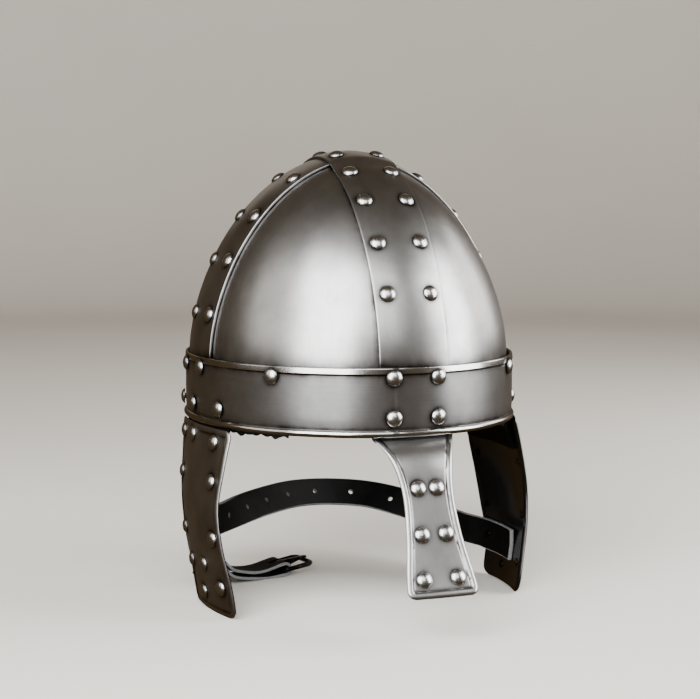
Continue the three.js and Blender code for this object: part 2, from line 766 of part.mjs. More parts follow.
// Buckle frame: a flat loop whose thin bar passes through the strap's fold.
function roundedLoop(shape, left, right, halfHeight, radius) {
  shape.moveTo(left + radius, -halfHeight);
  shape.lineTo(right - radius, -halfHeight);
  shape.absarc(right - radius, -halfHeight + radius, radius, -Math.PI / 2, 0, false);
  shape.lineTo(right, halfHeight - radius);
  shape.absarc(right - radius, halfHeight - radius, radius, 0, Math.PI / 2, false);
  shape.lineTo(left + radius, halfHeight);
  shape.absarc(left + radius, halfHeight - radius, radius, Math.PI / 2, Math.PI, false);
  shape.lineTo(left, -halfHeight + radius);
  shape.absarc(left + radius, -halfHeight + radius, radius, Math.PI, 1.5 * Math.PI, false);
  return shape;
}

function buckleLoop() {
  const frame = roundedLoop(new THREE.Shape(), -barRadius, buckleLength, buckleWidth / 2, barRadius);
  const inside = roundedLoop(
    new THREE.Path(),
    barRadius,
    buckleLength - buckleWire,
    buckleWidth / 2 - buckleWire * 0.75,
    barRadius / 2,
  );
  frame.holes.push(inside);
  const loop = new THREE.ExtrudeGeometry(frame, {
    depth: 2 * barRadius,
    bevelEnabled: false,
    curveSegments: 3,
  });
  return loop.translate(0, 0, -barRadius).applyMatrix4(buckleMatrix);
}

addPiece('buckle_frame', buckleLoop(), blackSteel);

// Prong: an eye round the bar and a tongue that rests on the far side of the loop.
function buckleProng() {
  const eye = barCorner + gap;
  const side = new THREE.Shape();
  side.absarc(0, 0, eye + prongWall, Math.PI / 2, 1.9 * Math.PI, false);
  side.lineTo(buckleLength - buckleWire, barRadius + gap);
  side.lineTo(buckleLength, barRadius + gap);
  side.lineTo(buckleLength, barRadius + gap + prongWall * 0.7);
  side.lineTo(0, eye + prongWall);
  const hole = new THREE.Path();
  hole.absarc(0, 0, eye, 0, 2 * Math.PI, true);
  side.holes.push(hole);
  const prong = new THREE.ExtrudeGeometry(side, {
    depth: prongWidth,
    bevelEnabled: false,
    curveSegments: 10,
  });
  return prong.translate(0, 0, -prongWidth / 2).rotateX(Math.PI / 2).applyMatrix4(buckleMatrix);
}

addPiece('buckle_prong', buckleProng(), blackSteel);

// Rivets that join two pieces, each in the holes drilled for it.
const plateGrip = infillDepth + plateWall;
const tabGrip = strapDepth + plateWall;
const leatherGrip = strapDepth + leatherWall;
const guardLeatherGrip = plateWall + gap + leatherWall;
const rivetSets = {
  band_rivet_ridge: { spots: ridgeUpperSpots, grip: plateGrip },
  band_rivet_side: { spots: sideUpperSpots, grip: plateGrip },
  band_rivet_plate: { spots: plateSpots, grip: plateGrip },
  band_rivet_nasal: { spots: nasalTabSpots, grip: tabGrip },
  band_rivet_back: { spots: backLowerSpots, grip: tabGrip },
  band_rivet_hinge: { spots: hingeSpots, grip: leatherGrip },
  nasal_rivet: { spots: nasalSpots, grip: plateWall },
  cheek_left_hinge_rivet: { spots: cheekHingeSpots, grip: guardLeatherGrip },
  cheek_left_strap_rivet: { spots: cheekStrapSpots, grip: plateWall + gap + tongueWall },
};
for (const [name, { spots, grip }] of Object.entries(rivetSets)) {
  spots.forEach((spot, i) => addPiece(`${name}_${i + 1}`, rivet(spot, grip), steel));
}
cheekHingeSpots.forEach((spot, i) => {
  const geometry = mirrored(rivet(spot, guardLeatherGrip));
  addPiece(`cheek_right_hinge_rivet_${i + 1}`, geometry, steel);
});
cheekStrapSpots.forEach((spot, i) => {
  const geometry = mirrored(rivet(spot, plateWall + gap + buckleSeatWall));
  addPiece(`cheek_right_strap_rivet_${i + 1}`, geometry, steel);
});

// Stand the helmet on the floor, with the middle of its footprint over the origin.
const footprint = new THREE.Box3().setFromObject(helmet).getCenter(new THREE.Vector3());
helmet.position.set(-footprint.x, -footprint.y, standHeight);

export default helmet;
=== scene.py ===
# A riveted sheet steel helmet with a nose guard, two cheek guards and a leather chin strap.
# Metres, +Z up, the nose guard towards -Y, the wearer's left towards +X. Sizes are given in
# millimetres times MM, and heights from the top edge of the brow band, as on the CAD model.
import math

import bpy
from mathutils import Matrix, Vector, noise


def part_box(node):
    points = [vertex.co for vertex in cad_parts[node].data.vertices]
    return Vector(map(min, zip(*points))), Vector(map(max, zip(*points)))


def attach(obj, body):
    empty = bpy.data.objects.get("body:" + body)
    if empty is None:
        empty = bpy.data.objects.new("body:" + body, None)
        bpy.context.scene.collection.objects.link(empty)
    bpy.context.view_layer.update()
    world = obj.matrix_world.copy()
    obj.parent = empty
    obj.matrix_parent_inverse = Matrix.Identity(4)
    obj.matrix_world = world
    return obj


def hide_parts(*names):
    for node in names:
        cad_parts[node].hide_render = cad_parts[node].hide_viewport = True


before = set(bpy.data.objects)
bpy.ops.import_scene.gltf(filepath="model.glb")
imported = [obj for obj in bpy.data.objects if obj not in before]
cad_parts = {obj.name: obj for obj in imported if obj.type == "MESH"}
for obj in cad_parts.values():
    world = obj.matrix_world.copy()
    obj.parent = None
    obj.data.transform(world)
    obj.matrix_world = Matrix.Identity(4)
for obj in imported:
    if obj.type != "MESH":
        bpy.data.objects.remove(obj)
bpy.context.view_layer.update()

# Infill plates. Four curved triangles of mild steel sheet fill the crown between its straps.
# Each was raised over a form, brushed from the band up to the top, painted black inside, and riveted under
# the straps and the brow band. Along the straps and the band its face is darkened by an antique patina with
# painted shade mixed in.
MM = 0.001
band_low, band_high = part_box("brow_band")
band_top = (band_low + band_high) / 2
band_top.z = band_high.z
half_width = 105 * MM
half_length = 116.2 * MM
crown_height = 126.8 * MM
round_out = 1.903
round_up = 1.719
band_wall = 2.2 * MM
plate_wall = 1.5 * MM
gap = 0.4 * MM
lap_gap = 0.3 * MM
strap_depth = band_wall + gap
infill_depth = strap_depth + plate_wall + lap_gap
ridge_width = 44 * MM
side_width = 47 * MM
infill_lap = 12 * MM
skirt_depth = 20 * MM
infill_top_share = 0.21
edge_round = 0.55 * MM
edge_angle = math.radians(55)
sheet_smooth = math.radians(40)
round_smooth = math.radians(50)
ring_dark = 0.85
ring_fade = 1.3 * MM
ring_reach = 6 * MM


def shell_axes(depth):
    """Half width, half length and height of the crown's shell at a depth below the band's face."""
    return half_width - depth, half_length - depth, crown_height + strap_depth - depth


def shell_share(height_share):
    """How much of the plan is left at a share of the shell's height."""
    return (1 - height_share ** round_up) ** (1 / round_out)


def bare_selection():
    bpy.ops.object.select_all(action="DESELECT")


def work_on(piece):
    bare_selection()
    bpy.context.view_layer.objects.active = piece
    piece.select_set(True)


def apply_modifiers(piece):
    work_on(piece)
    for modifier in list(piece.modifiers):
        bpy.ops.object.modifier_apply(modifier=modifier.name)


def bent_sheet(name, columns, rows, across, along, place):
    """A flat grid whose points place() bends to shape. Its UV map counts metres on the sheet."""
    bare_selection()
    bpy.ops.mesh.primitive_grid_add(x_subdivisions=columns, y_subdivisions=rows, size=1)
    sheet = bpy.context.object
    sheet.name = sheet.data.name = name
    for point in sheet.data.vertices:
        point.co = place(point.co.x + 0.5, point.co.y + 0.5) + band_top
    for corner in sheet.data.uv_layers.active.data:
        corner.uv.x *= across
        corner.uv.y *= along
    return sheet


def antique_and_shade(sheet, recess_distance, heads=(), fade=4 * MM):
    """Writes how dark the patina and painted shade are: deep in corners and in a ring round each rivet
    head.
    """
    shade = sheet.data.attributes.new("patina_and_shade", "FLOAT", "POINT")
    for point in sheet.data.vertices:
        spot = point.co - band_top
        dark = math.exp(-max(recess_distance(spot), 0) / fade)
        for at, _ in heads:
            away = (spot - at).length - head_radius
            if away < ring_reach:
                dark = max(dark, ring_dark * math.exp(-max(away, 0) / ring_fade))
        shade.data[point.index].value = dark


def paint(piece, *materials):
    for material in materials:
        piece.data.materials.append(material)


def give_wall(sheet, wall, inner_slot=1, rim_slot=0, offset=-1, edge=edge_round, edge_slot=-1):
    """Thickens a sheet inwards, rounds its edges and shades it smooth."""
    thick = sheet.modifiers.new("wall", "SOLIDIFY")
    thick.thickness = wall
    thick.offset = offset
    thick.use_even_offset = True
    thick.material_offset = inner_slot
    thick.material_offset_rim = rim_slot
    rounded = sheet.modifiers.new("edges", "BEVEL")
    rounded.width = edge
    rounded.segments = 3
    rounded.material = edge_slot
    rounded.angle_limit = edge_angle
    apply_modifiers(sheet)
    bpy.ops.object.shade_smooth_by_angle(angle=sheet_smooth)


def mirrored(piece, name, sides=(-1, 1, 1)):
    """A copy of its own on the other side of the helmet, facing outwards again."""
    twin = piece.copy()
    twin.data = piece.data.copy()
    twin.name = twin.data.name = name
    bpy.context.collection.objects.link(twin)
    centre = Matrix.Translation((band_top.x, band_top.y, 0))
    twin.data.transform(centre @ Matrix.Diagonal((*sides, 1)) @ centre.inverted())
    if sides[0] * sides[1] < 0:
        twin.data.flip_normals()
    return twin


def hand_over(piece, slot, *nodes):
    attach(piece, "root")
    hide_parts(*nodes)


def linear(hex_colour):
    """sRGB hex to the linear colour that shaders take."""
    parts = [int(hex_colour[i:i + 2], 16) / 255 for i in (1, 3, 5)]
    return [c / 12.92 if c <= 0.04045 else ((c + 0.055) / 1.055) ** 2.4 for c in parts] + [1]


def link(tree, node, sources):
    """Links each source to the node's socket of that name or number."""
    for name, source in sources.items():
        tree.links.new(source, node.inputs[name])


def add_node(tree, kind, settings=None, links=None):
    """A node with its settings, by socket or property name, and its incoming links."""
    node = tree.nodes.new("ShaderNode" + kind)
    for name, value in (settings or {}).items():
        if isinstance(name, int) or name in node.inputs:
            node.inputs[name].default_value = value
        else:
            setattr(node, name, value)
    link(tree, node, links or {})
    return node


def new_material(name):
    """A material, its node tree, its surface shader and the piece's own coordinates."""
    material = bpy.data.materials.new(name)
    material.use_nodes = True
    tree = material.node_tree
    body = add_node(tree, "TexCoord").outputs["Object"]
    return material, tree, tree.nodes["Principled BSDF"], body


def two_tone(tree, factor, low, high, start=0.0, end=1.0):
    ramp = add_node(tree, "ValToRGB", links={0: factor})
    ramp.color_ramp.elements[0].position = start
    ramp.color_ramp.elements[0].color = linear(low)
    ramp.color_ramp.elements[1].position = end
    ramp.color_ramp.elements[1].color = linear(high)
    return ramp.outputs[0]


# Mild steel sheet, belt brushed: a satin grey face whose fine lines stretch the highlights. An antique
# brown-black patina with painted shade mixed in darkens each recess, the strap edges and a ring round each
# rivet. The real brush lines are about 0.1 mm apart and drawn at 0.5 mm, the least that shows in the
# render.
brush_line = 0.5 * MM
brush_length = 35 * MM
blotch_size = 26 * MM
dent_size = 34 * MM
patch_gain, patch_start = 2.4, -0.3
smudge_gain, smudge_start = 0.75, -0.22
line_wear = 0.22
patina_and_shade_dark = 0.85


def brushed_steel(name, line_scale, use_uv=True, bright="#bdbdbd", roughness=(0.24, 0.38)):
    material, tree, shader, body = new_material(name)
    place = body.node.outputs["UV"] if use_uv else body
    lines = add_node(tree, "Mapping", {"Scale": line_scale}, {"Vector": place})
    brushing = add_node(tree, "TexNoise", {"Scale": 1, "Detail": 4, "Roughness": 0.65},
                        {"Vector": lines.outputs[0]})
    blotches = add_node(tree, "TexNoise",
                        {"Scale": 1 / blotch_size, "Detail": 5, "Roughness": 0.6}, {"Vector": body})
    recess = add_node(tree, "Attribute", {"attribute_name": "patina_and_shade"}).outputs["Fac"]
    patchy = add_node(tree, "Math", {"operation": "MULTIPLY_ADD", 1: patch_gain, 2: patch_start},
                      {0: blotches.outputs["Fac"]})
    patina_and_shade = add_node(tree, "Math", {"operation": "MULTIPLY", "use_clamp": True},
                      {0: recess, 1: patchy.outputs[0]})
    smudge = add_node(tree, "Math", {"operation": "MULTIPLY_ADD", 1: smudge_gain, 2: smudge_start},
                      {0: blotches.outputs["Fac"]})
    worn = add_node(tree, "Math", {"operation": "MULTIPLY_ADD", 1: line_wear},
                    {0: brushing.outputs["Fac"], 2: smudge.outputs[0]})
    # Patina and painted shade from the attribute darken the grey, made blotchy; brush lines and smudges add
    # real wear.
    dark = add_node(tree, "Math",
                    {"operation": "MULTIPLY_ADD", 1: patina_and_shade_dark, "use_clamp": True},
                    {0: patina_and_shade.outputs[0], 2: worn.outputs[0]})
    sheen = add_node(tree, "MapRange", {"To Min": roughness[0], "To Max": roughness[1]},
                     {"Value": brushing.outputs["Fac"]})
    shader.inputs["Metallic"].default_value = 1
    dents = add_node(tree, "TexNoise", {"Scale": 1 / dent_size, "Detail": 1},
                     {"Vector": body})
    waves = add_node(tree, "Bump", {"Strength": 0.5, "Distance": 0.5 * MM},
                     {"Height": dents.outputs["Fac"]})
    grain = add_node(tree, "Bump", {"Strength": 0.25, "Distance": 0.02 * MM},
                     {"Height": brushing.outputs["Fac"], "Normal": waves.outputs[0]})
    link(tree, shader, {"Base Color": two_tone(tree, dark.outputs[0], bright, "#3a3532"),
                        "Roughness": sheen.outputs[0], "Normal": grain.outputs[0]})
    return material


upward_lines = (1 / brush_line, 1 / brush_length, 1)
plate_steel = brushed_steel("brushed mild steel", upward_lines)

# Gloss black enamel on the inside faces, sprayed on: a hard wet gloss with a faint orange
# peel about 2.5 mm across.
peel_size = 2.5 * MM
black_enamel, tree, shader, body = new_material("gloss black enamel")
peel = add_node(tree, "TexNoise", {"Scale": 1 / peel_size, "Detail": 2},
                {"Vector": body})
gloss = add_node(tree, "MapRange", {"To Min": 0.1, "To Max": 0.24},
                 {"Value": peel.outputs["Fac"]})
ripple = add_node(tree, "Bump", {"Strength": 0.3, "Distance": 0.1 * MM},
                  {"Height": peel.outputs["Fac"]})
link(tree, shader, {"Base Color": two_tone(tree, peel.outputs["Fac"], "#070606", "#100f0d"),
                    "Roughness": gloss.outputs[0], "Normal": ripple.outputs[0]})

infill_skirt_share = 0.12
infill_across = 95 * MM
polished_off = 0.8 * MM
over_band_share = 0.3
infill_along = 185 * MM


def place_infill(u, v):
    width, length, height = shell_axes(infill_depth)
    row = max(0, (v - infill_skirt_share) / (1 - infill_skirt_share))
    share = math.cos(row * math.acos(infill_top_share ** round_out))
    radius = share ** (1 / round_out)
    start = math.asin((ridge_width / 2 - infill_lap) / (width * radius))
    end = math.pi / 2 - math.asin((side_width / 2 - infill_lap) / (length * radius))
    turn = start + (end - start) * u
    z = height * (1 - share) ** (1 / round_up) if row > 0 else (v / infill_skirt_share - 1) * skirt_depth
    return Vector((width * radius * math.sin(turn), -length * radius * math.cos(turn), z))


# How far a point is from the strap edges and the band, where the patina and painted shade are darkest.
def infill_recess(spot):
    over_band = spot.z * over_band_share
    return min(abs(spot.x) - ridge_width / 2, abs(spot.y) - side_width / 2, over_band) + polished_off


front_left = bent_sheet("infill_plate_front_left", 44, 84, infill_across, infill_along, place_infill)
antique_and_shade(front_left, infill_recess, fade=1.2 * MM)
paint(front_left, plate_steel, black_enamel)
give_wall(front_left, plate_wall)
hand_over(mirrored(front_left, "infill_plate_front_right"), "plate_steel", "infill_front_right")
hand_over(mirrored(front_left, "infill_plate_back_left", (1, -1, 1)), "plate_steel", "infill_back_left")
hand_over(mirrored(front_left, "infill_plate_back_right", (-1, -1, 1)), "plate_steel", "infill_back_right")
hand_over(front_left, "plate_steel", "infill_front_left")

# Side straps. A steel strap runs up each side from the brow band to the middle of the crown,
# where the ridge strap covers its end. Its rivets are set in pairs, with their domed heads
# ground and polished brighter than the sheet.
head_radius = 5 * MM
head_height = 2.6 * MM
shank_radius = 1.8 * MM
ridge_pair_half = 14.2 * MM
side_pair_half = 15.2 * MM
side_row_heights = (0.208, 0.472, 0.688, 0.875)
side_strap_end = 5 * MM
ray_halvings = 36
rivet_sides = 24
peen_radius = 2.9 * MM
peen_end_radius = 2.6 * MM
peen_height = 0.5 * MM
head_foot_share = 0.96
head_foot_height = 0.12 * MM
head_cap_share = 0.03
foot_fade = 0.45 * MM
strap_foot_patina_and_shade = 9 * MM
side_along = 200 * MM
strap_skirt_share = 0.1


def shell_ray(offset_share, tilt, reach, height):
    """Distance out to the shell along a ray tilted up over one level axis."""
    near, far = 0, 2 * max(reach, height)
    for _ in range(ray_halvings):
        middle = (near + far) / 2
        level = (offset_share ** 2 + (middle * math.cos(tilt) / reach) ** 2) ** (round_out / 2)
        if level + (middle * math.sin(tilt) / height) ** round_up < 1:
            near = middle
        else:
            far = middle
    return near


def shell_normal(point, depth):
    width, length, height = shell_axes(depth)
    x, y, z = point.x / width, point.y / length, point.z / height
    plan = max(x * x + y * y, 1e-9) ** (round_out / 2 - 1) * round_out
    rise = round_up * z ** (round_up - 1) / height if z > 0 else 0
    return Vector((plan * x / width, plan * y / length, rise)).normalized()


def place_side(u, v):
    width, length, height = shell_axes(strap_depth)
    y = (u - 0.5) * side_width
    row = max(0, v - strap_skirt_share) / (1 - strap_skirt_share)
    tilt = row * math.atan2(height, side_strap_end)
    out = shell_ray(y / length, tilt, width, height)
    z = out * math.sin(tilt) if row > 0 else (v / strap_skirt_share - 1) * skirt_depth
    return Vector((out * math.cos(tilt), y, z))


def side_spot(end, height_share):
    width, length, height = shell_axes(strap_depth)
    y, z = end * (side_pair_half - gap), height_share * crown_height
    x = width * math.sqrt(shell_share(z / height) ** 2 - (y / length) ** 2)
    return Vector((x, y, z)), shell_normal(Vector((x, y, z)), strap_depth)


def extrude_rings(rings):
    """Extrudes and scales the selected ring from each radius and height to the next."""
    for (old, low), (new, high) in zip(rings, rings[1:]):
        bpy.ops.mesh.extrude_region_move(TRANSFORM_OT_translate={"value": (0, 0, high - low)})
        share = new / old
        bpy.ops.transform.resize(value=(share, share, 1), center_override=(0, 0, high))


def turned_rivet(name, shank):
    """A rivet along +Z: each ring is extruded from the last and scaled, then the ends close."""
    # Columns: shares of the head's radius and of its height.
    dome = [(0.985, 0.1), (0.93, 0.3), (0.82, 0.52), (0.66, 0.72), (0.46, 0.87), (0.22, 0.97)]
    peen = [(shank_radius, -shank), (peen_radius, -shank), (peen_end_radius, -shank - peen_height)]
    rings = [(shank_radius, 0), (head_radius * head_foot_share, 0), (head_radius, head_foot_height)]
    rings = peen[::-1] + rings + [(head_radius * r, head_height * h) for r, h in dome]
    bare_selection()
    bpy.ops.mesh.primitive_circle_add(vertices=rivet_sides, radius=rings[0][0],
                                      location=(0, 0, rings[0][1]))
    rivet = bpy.context.object
    rivet.name = rivet.data.name = name
    bpy.ops.object.transform_apply(location=True)
    bpy.ops.object.mode_set(mode="EDIT")
    bpy.ops.mesh.select_all(action="SELECT")
    bpy.ops.mesh.extrude_region_move()
    bpy.ops.mesh.merge(type="CENTER")
    bpy.ops.mesh.select_all(action="DESELECT")
    bpy.ops.mesh.select_non_manifold()
    extrude_rings(rings)
    cap = head_height * head_cap_share
    bpy.ops.mesh.extrude_region_move(TRANSFORM_OT_translate={"value": (0, 0, cap)})
    bpy.ops.mesh.merge(type="CENTER")
    bpy.ops.mesh.select_all(action="SELECT")
    bpy.ops.mesh.normals_make_consistent(inside=False)
    bpy.ops.object.mode_set(mode="OBJECT")
    bpy.ops.object.shade_smooth_by_angle(angle=round_smooth)
    # Painted shade: the head darkens towards its foot, where it meets the sheet, and its shank and peened
    # end are dark.
    foot = rivet.data.attributes.new("patina_and_shade", "FLOAT", "POINT")
    for point in rivet.data.vertices:
        foot.data[point.index].value = math.exp(-max(point.co.z, 0) / foot_fade)
    return rivet


def set_rivet(model, spot, name):
    """A copy of the model rivet in its place, on a mesh of its own."""
    at, out = spot
    rivet = model.copy()
    rivet.data = model.data.copy()
    rivet.name = rivet.data.name = name
    bpy.context.collection.objects.link(rivet)
    turn = out.to_track_quat("Z", "Y").to_matrix().to_4x4()
    rivet.data.transform(Matrix.Translation(at + band_top) @ turn)
    return rivet


def fasten(sheet, model, spots):
    """Joins riveted heads that are one piece with their sheet."""
    heads = [set_rivet(model, spot, "head") for spot in spots]
    work_on(sheet)
    for head in heads:
        head.select_set(True)
    bpy.ops.object.join()


# Rivet steel, cold formed and polished on a wheel: smoother and brighter than the sheet, with faint scuffs,
# and painted shade in the ring round its foot.
scuff_size = 1.6 * MM
rivet_steel, tree, shader, body = new_material("polished rivet steel")
scuffs = add_node(tree, "TexNoise", {"Scale": 1 / scuff_size, "Detail": 4}, {"Vector": body})
foot = add_node(tree, "Attribute", {"attribute_name": "patina_and_shade"}).outputs["Fac"]
scuffs_and_foot_shade = add_node(tree, "Math", {"operation": "MULTIPLY_ADD", 1: 0.3, "use_clamp": True},
                 {0: scuffs.outputs["Fac"], 2: foot})
polish = add_node(tree, "MapRange", {"To Min": 0.2, "To Max": 0.32},
                  {"Value": scuffs.outputs["Fac"]})
shader.inputs["Metallic"].default_value = 1
dings = add_node(tree, "Bump", {"Strength": 0.25, "Distance": 0.08 * MM},
                 {"Height": scuffs.outputs["Fac"]})
link(tree, shader, {"Base Color": two_tone(tree, scuffs_and_foot_shade.outputs[0], "#d2d2d2", "#1d1a18"),
                    "Roughness": polish.outputs[0], "Normal": dings.outputs[0]})

strap_shank = plate_wall + gap
strap_rivet = turned_rivet("strap_rivet_model", strap_shank)
paint(strap_rivet, rivet_steel)
side_spots = [side_spot(end, height) for height in side_row_heights for end in (-1, 1)]
left_strap = bent_sheet("side_strap_steel_left", 32, 130, side_width, side_along, place_side)
# Patina and painted shade darken the strap's foot at the band and a ring round each rivet.
antique_and_shade(left_strap, lambda spot: min(spot.z, strap_foot_patina_and_shade), side_spots, fade=3 * MM)
paint(left_strap, plate_steel, black_enamel)
give_wall(left_strap, plate_wall)
fasten(left_strap, strap_rivet, side_spots)
hand_over(mirrored(left_strap, "side_strap_steel_right"), "plate_steel", "side_strap_right")
hand_over(left_strap, "plate_steel", "side_strap_left")

# Ridge strap. One long steel strap runs from the brow over the crown to the back, on top of
# the side straps' ends, where it rises a little. It is riveted in pairs like them.
ridge_row_heights = (0.336, 0.571, 0.769, 0.906, 0.975)
ridge_back_depth = 36 * MM
crossing_ramp = 12 * MM
crossing_lift = plate_wall + lap_gap
ridge_along = 460 * MM
ridge_front_share = 0.05
ridge_back_share = 0.08


def smooth_step(start, end, value):
    share = min(1, max(0, (value - start) / (end - start)))
    return share * share * (3 - 2 * share)


def ridge_point(x, turn, depth):
    width, length, height = shell_axes(depth)
    tilt = math.pi - turn if turn > math.pi / 2 else turn
    out = shell_ray(x / width, tilt, length, height)
    return Vector((x, -out * math.cos(turn), out * math.sin(turn)))


def ridge_lifted(x, turn):
    """The strap's outer face, which rises over the ends of the side straps."""
    away = abs(ridge_point(x, turn, strap_depth).y) - side_width / 2 - gap
    return strap_depth - crossing_lift * (1 - smooth_step(0, crossing_ramp, away))


def place_ridge(u, v):
    x = (u - 0.5) * ridge_width
    share = (v - ridge_front_share) / (1 - ridge_front_share - ridge_back_share)
    turn = min(1, max(0, share)) * math.pi
    point = ridge_point(x, turn, ridge_lifted(x, turn))
    if share < 0:
        point.z = (v / ridge_front_share - 1) * skirt_depth
    if share > 1:
        point.z = -(v - 1 + ridge_back_share) / ridge_back_share * ridge_back_depth
    return point


def ridge_spot(side, height_share):
    width, length, height = shell_axes(strap_depth)
    x, z = side * (ridge_pair_half - gap), height_share * crown_height
    y = -length * math.sqrt(shell_share(z / height) ** 2 - (x / width) ** 2)
    turn = math.atan2(z, -y)
    depth = ridge_lifted(x, turn)
    point = ridge_point(x, turn, depth)
    return point, shell_normal(point, depth)


front_spots = [ridge_spot(side, height) for height in ridge_row_heights for side in (-1, 1)]
back_spots = [(Vector((at.x, -at.y, at.z)), Vector((out.x, -out.y, out.z))) for at, out in front_spots]
ridge = bent_sheet("ridge_strap_steel", 30, 300, ridge_width, ridge_along, place_ridge)
# Patina and painted shade darken the strap's ends at the band and a ring round each rivet.
antique_and_shade(ridge, lambda spot: spot.z, front_spots + back_spots, fade=3 * MM)
paint(ridge, plate_steel, black_enamel)
give_wall(ridge, plate_wall)
fasten(ridge, strap_rivet, front_spots + back_spots)
hand_over(ridge, "plate_steel", "ridge_strap")
bpy.data.objects.remove(strap_rivet)

# Brow band. A steel strip is bent to the oval of the head and lapped at the front. Its top
# edge has a narrow raised border and its lower edge is rolled over into a round rim. Both
# were polished bright, and the face between them is brushed along its length.
band_height = 41.3 * MM
border_height = 3.8 * MM
border_rise = 0.3 * MM
rim_radius = 2.2 * MM
rim_rise = 1.6 * MM
band_steps = 420
rim_steps = 12
lap_angle = math.radians(-7.5)
lap_step = 0.6 * MM
rim_wobble = 0.3 * MM
rim_wobble_from = 30 * MM
rim_wobble_to = 38 * MM
waves_round = 4
dips_round = 3
lap_edge = 0.004
lap_fade = (0.25, 0.4)
edge_cut = 0.3 * MM
border_foot = 1 * MM
face_steps = 16
weld = 0.01 * MM


def band_plan(turn, out=0.0):
    """A point of the oval, and the way out there, at an angle from the front."""
    side, front = math.sin(turn), math.cos(turn)
    normal = Vector((side / half_width, -front / half_length, 0)).normalized()
    return Vector((half_width * side, -half_length * front, 0)) + normal * out, normal


def rim_section():
    """The band's outline, as distances out from its face and heights from its top edge."""
    centre = rim_rise - rim_radius
    level = -band_height + rim_radius
    arc = [math.radians(75 - 195 * i / rim_steps) for i in range(rim_steps + 1)]
    roll = [(centre + rim_radius * math.cos(a), level + rim_radius * math.sin(a)) for a in arc]
    face_start = -border_height - border_foot
    face_end = level + rim_radius + 0.4 * MM
    top = [(-band_wall, -edge_cut), (-band_wall + edge_cut, 0), (-0.4 * MM, 0), (0, -edge_cut),
           (border_rise * 0.2, -0.7 * MM), (border_rise * 0.95, -border_height + 0.5 * MM),
           (border_rise, -border_height + edge_cut), (border_rise * 0.6, -border_height),
           (0, -border_height - 0.2 * MM), (0, face_start)]
    face = [(0, face_start + (face_end - face_start) * i / face_steps) for i in range(1, face_steps + 1)]
    return top + face + roll + [(-band_wall, level + 0.5 * MM)]


def ringed(name, section, steps):
    """A ring drawn from its outline: a circle extruded and scaled from point to point."""
    bare_selection()
    rings = [(half_width + out, z) for out, z in section]
    bpy.ops.mesh.primitive_circle_add(vertices=steps, radius=rings[0][0])
    ring = bpy.context.object
    ring.name = ring.data.name = name
    bpy.ops.object.mode_set(mode="EDIT")
    bpy.ops.mesh.select_all(action="SELECT")
    bpy.ops.transform.translate(value=(0, 0, rings[0][1]))
    extrude_rings(rings + rings[:1])
    bpy.ops.mesh.select_all(action="SELECT")
    bpy.ops.mesh.remove_doubles(threshold=weld)
    bpy.ops.mesh.normals_make_consistent(inside=False)
    bpy.ops.object.mode_set(mode="OBJECT")
    return ring


upper_drop = 6.2 * MM
lower_drop = 30 * MM
plate_rivet_angle = math.radians(48)
hinge_rivet_angles = [math.radians(angle) for angle in (71, 89, 107)]
ridge_pair_angle = math.asin(ridge_pair_half / half_width)
side_pair_angle = math.asin(side_pair_half / half_length)


def band_spots(angles, drop):
    """Rivet places on both sides of the band, the left one first."""
    spots = []
    for turn in angles:
        for side in (1, -1):
            point, normal = band_plan(side * turn)
            spots.append((point - Vector((0, 0, drop)), normal))
    return spots


band_rivets = {
    "band_rivet_ridge": band_spots([ridge_pair_angle, math.pi - ridge_pair_angle], upper_drop),
    "band_rivet_side": band_spots([math.pi / 2 - side_pair_angle, math.pi / 2 + side_pair_angle],
                                  upper_drop),
    "band_rivet_plate": band_spots([plate_rivet_angle, math.pi - plate_rivet_angle], upper_drop),
    "band_rivet_nasal": band_spots([ridge_pair_angle], lower_drop),
    "band_rivet_back": band_spots([math.pi - ridge_pair_angle], lower_drop),
    "band_rivet_hinge": band_spots(hinge_rivet_angles, lower_drop),
}
band = ringed("brow_band_steel", rim_section(), band_steps)
for point in band.data.vertices:
    turn = math.atan2(point.co.x, -point.co.y)
    out = math.hypot(point.co.x, point.co.y) - half_width
    low = rim_wobble * smooth_step(rim_wobble_from, rim_wobble_to, -point.co.z)
    wave = noise.noise(Vector((math.cos(turn) * waves_round, math.sin(turn) * waves_round, 0)))
    dip = noise.noise(Vector((math.cos(turn) * dips_round, math.sin(turn) * dips_round, 5)))
    if out > -MM:
        lap = lap_step * smooth_step(lap_angle + lap_edge, lap_angle - lap_edge, turn)
        lap *= 1 - smooth_step(*lap_fade, abs(turn - lap_angle))
        out += lap - lap_step - (0.5 - wave) * low
    on_oval, _ = band_plan(turn, out)
    point.co = on_oval + Vector((0, 0, point.co.z + dip * low)) + band_top


no_recess = 30 * MM
face_patina_and_shade = 1.6


def band_recess(spot):
    """Patina and painted shade under the border and over the rim, on the band's face only."""
    drop = -spot.z
    if drop < border_height or drop > band_height - 2 * rim_radius:
        return no_recess
    return min(drop - border_height, band_height - 2 * rim_radius - drop) * face_patina_and_shade


# Patina and painted shade also darken a ring round each of the band's rivets.
antique_and_shade(band, band_recess, [spot for spots in band_rivets.values() for spot in spots], fade=2.4 * MM)

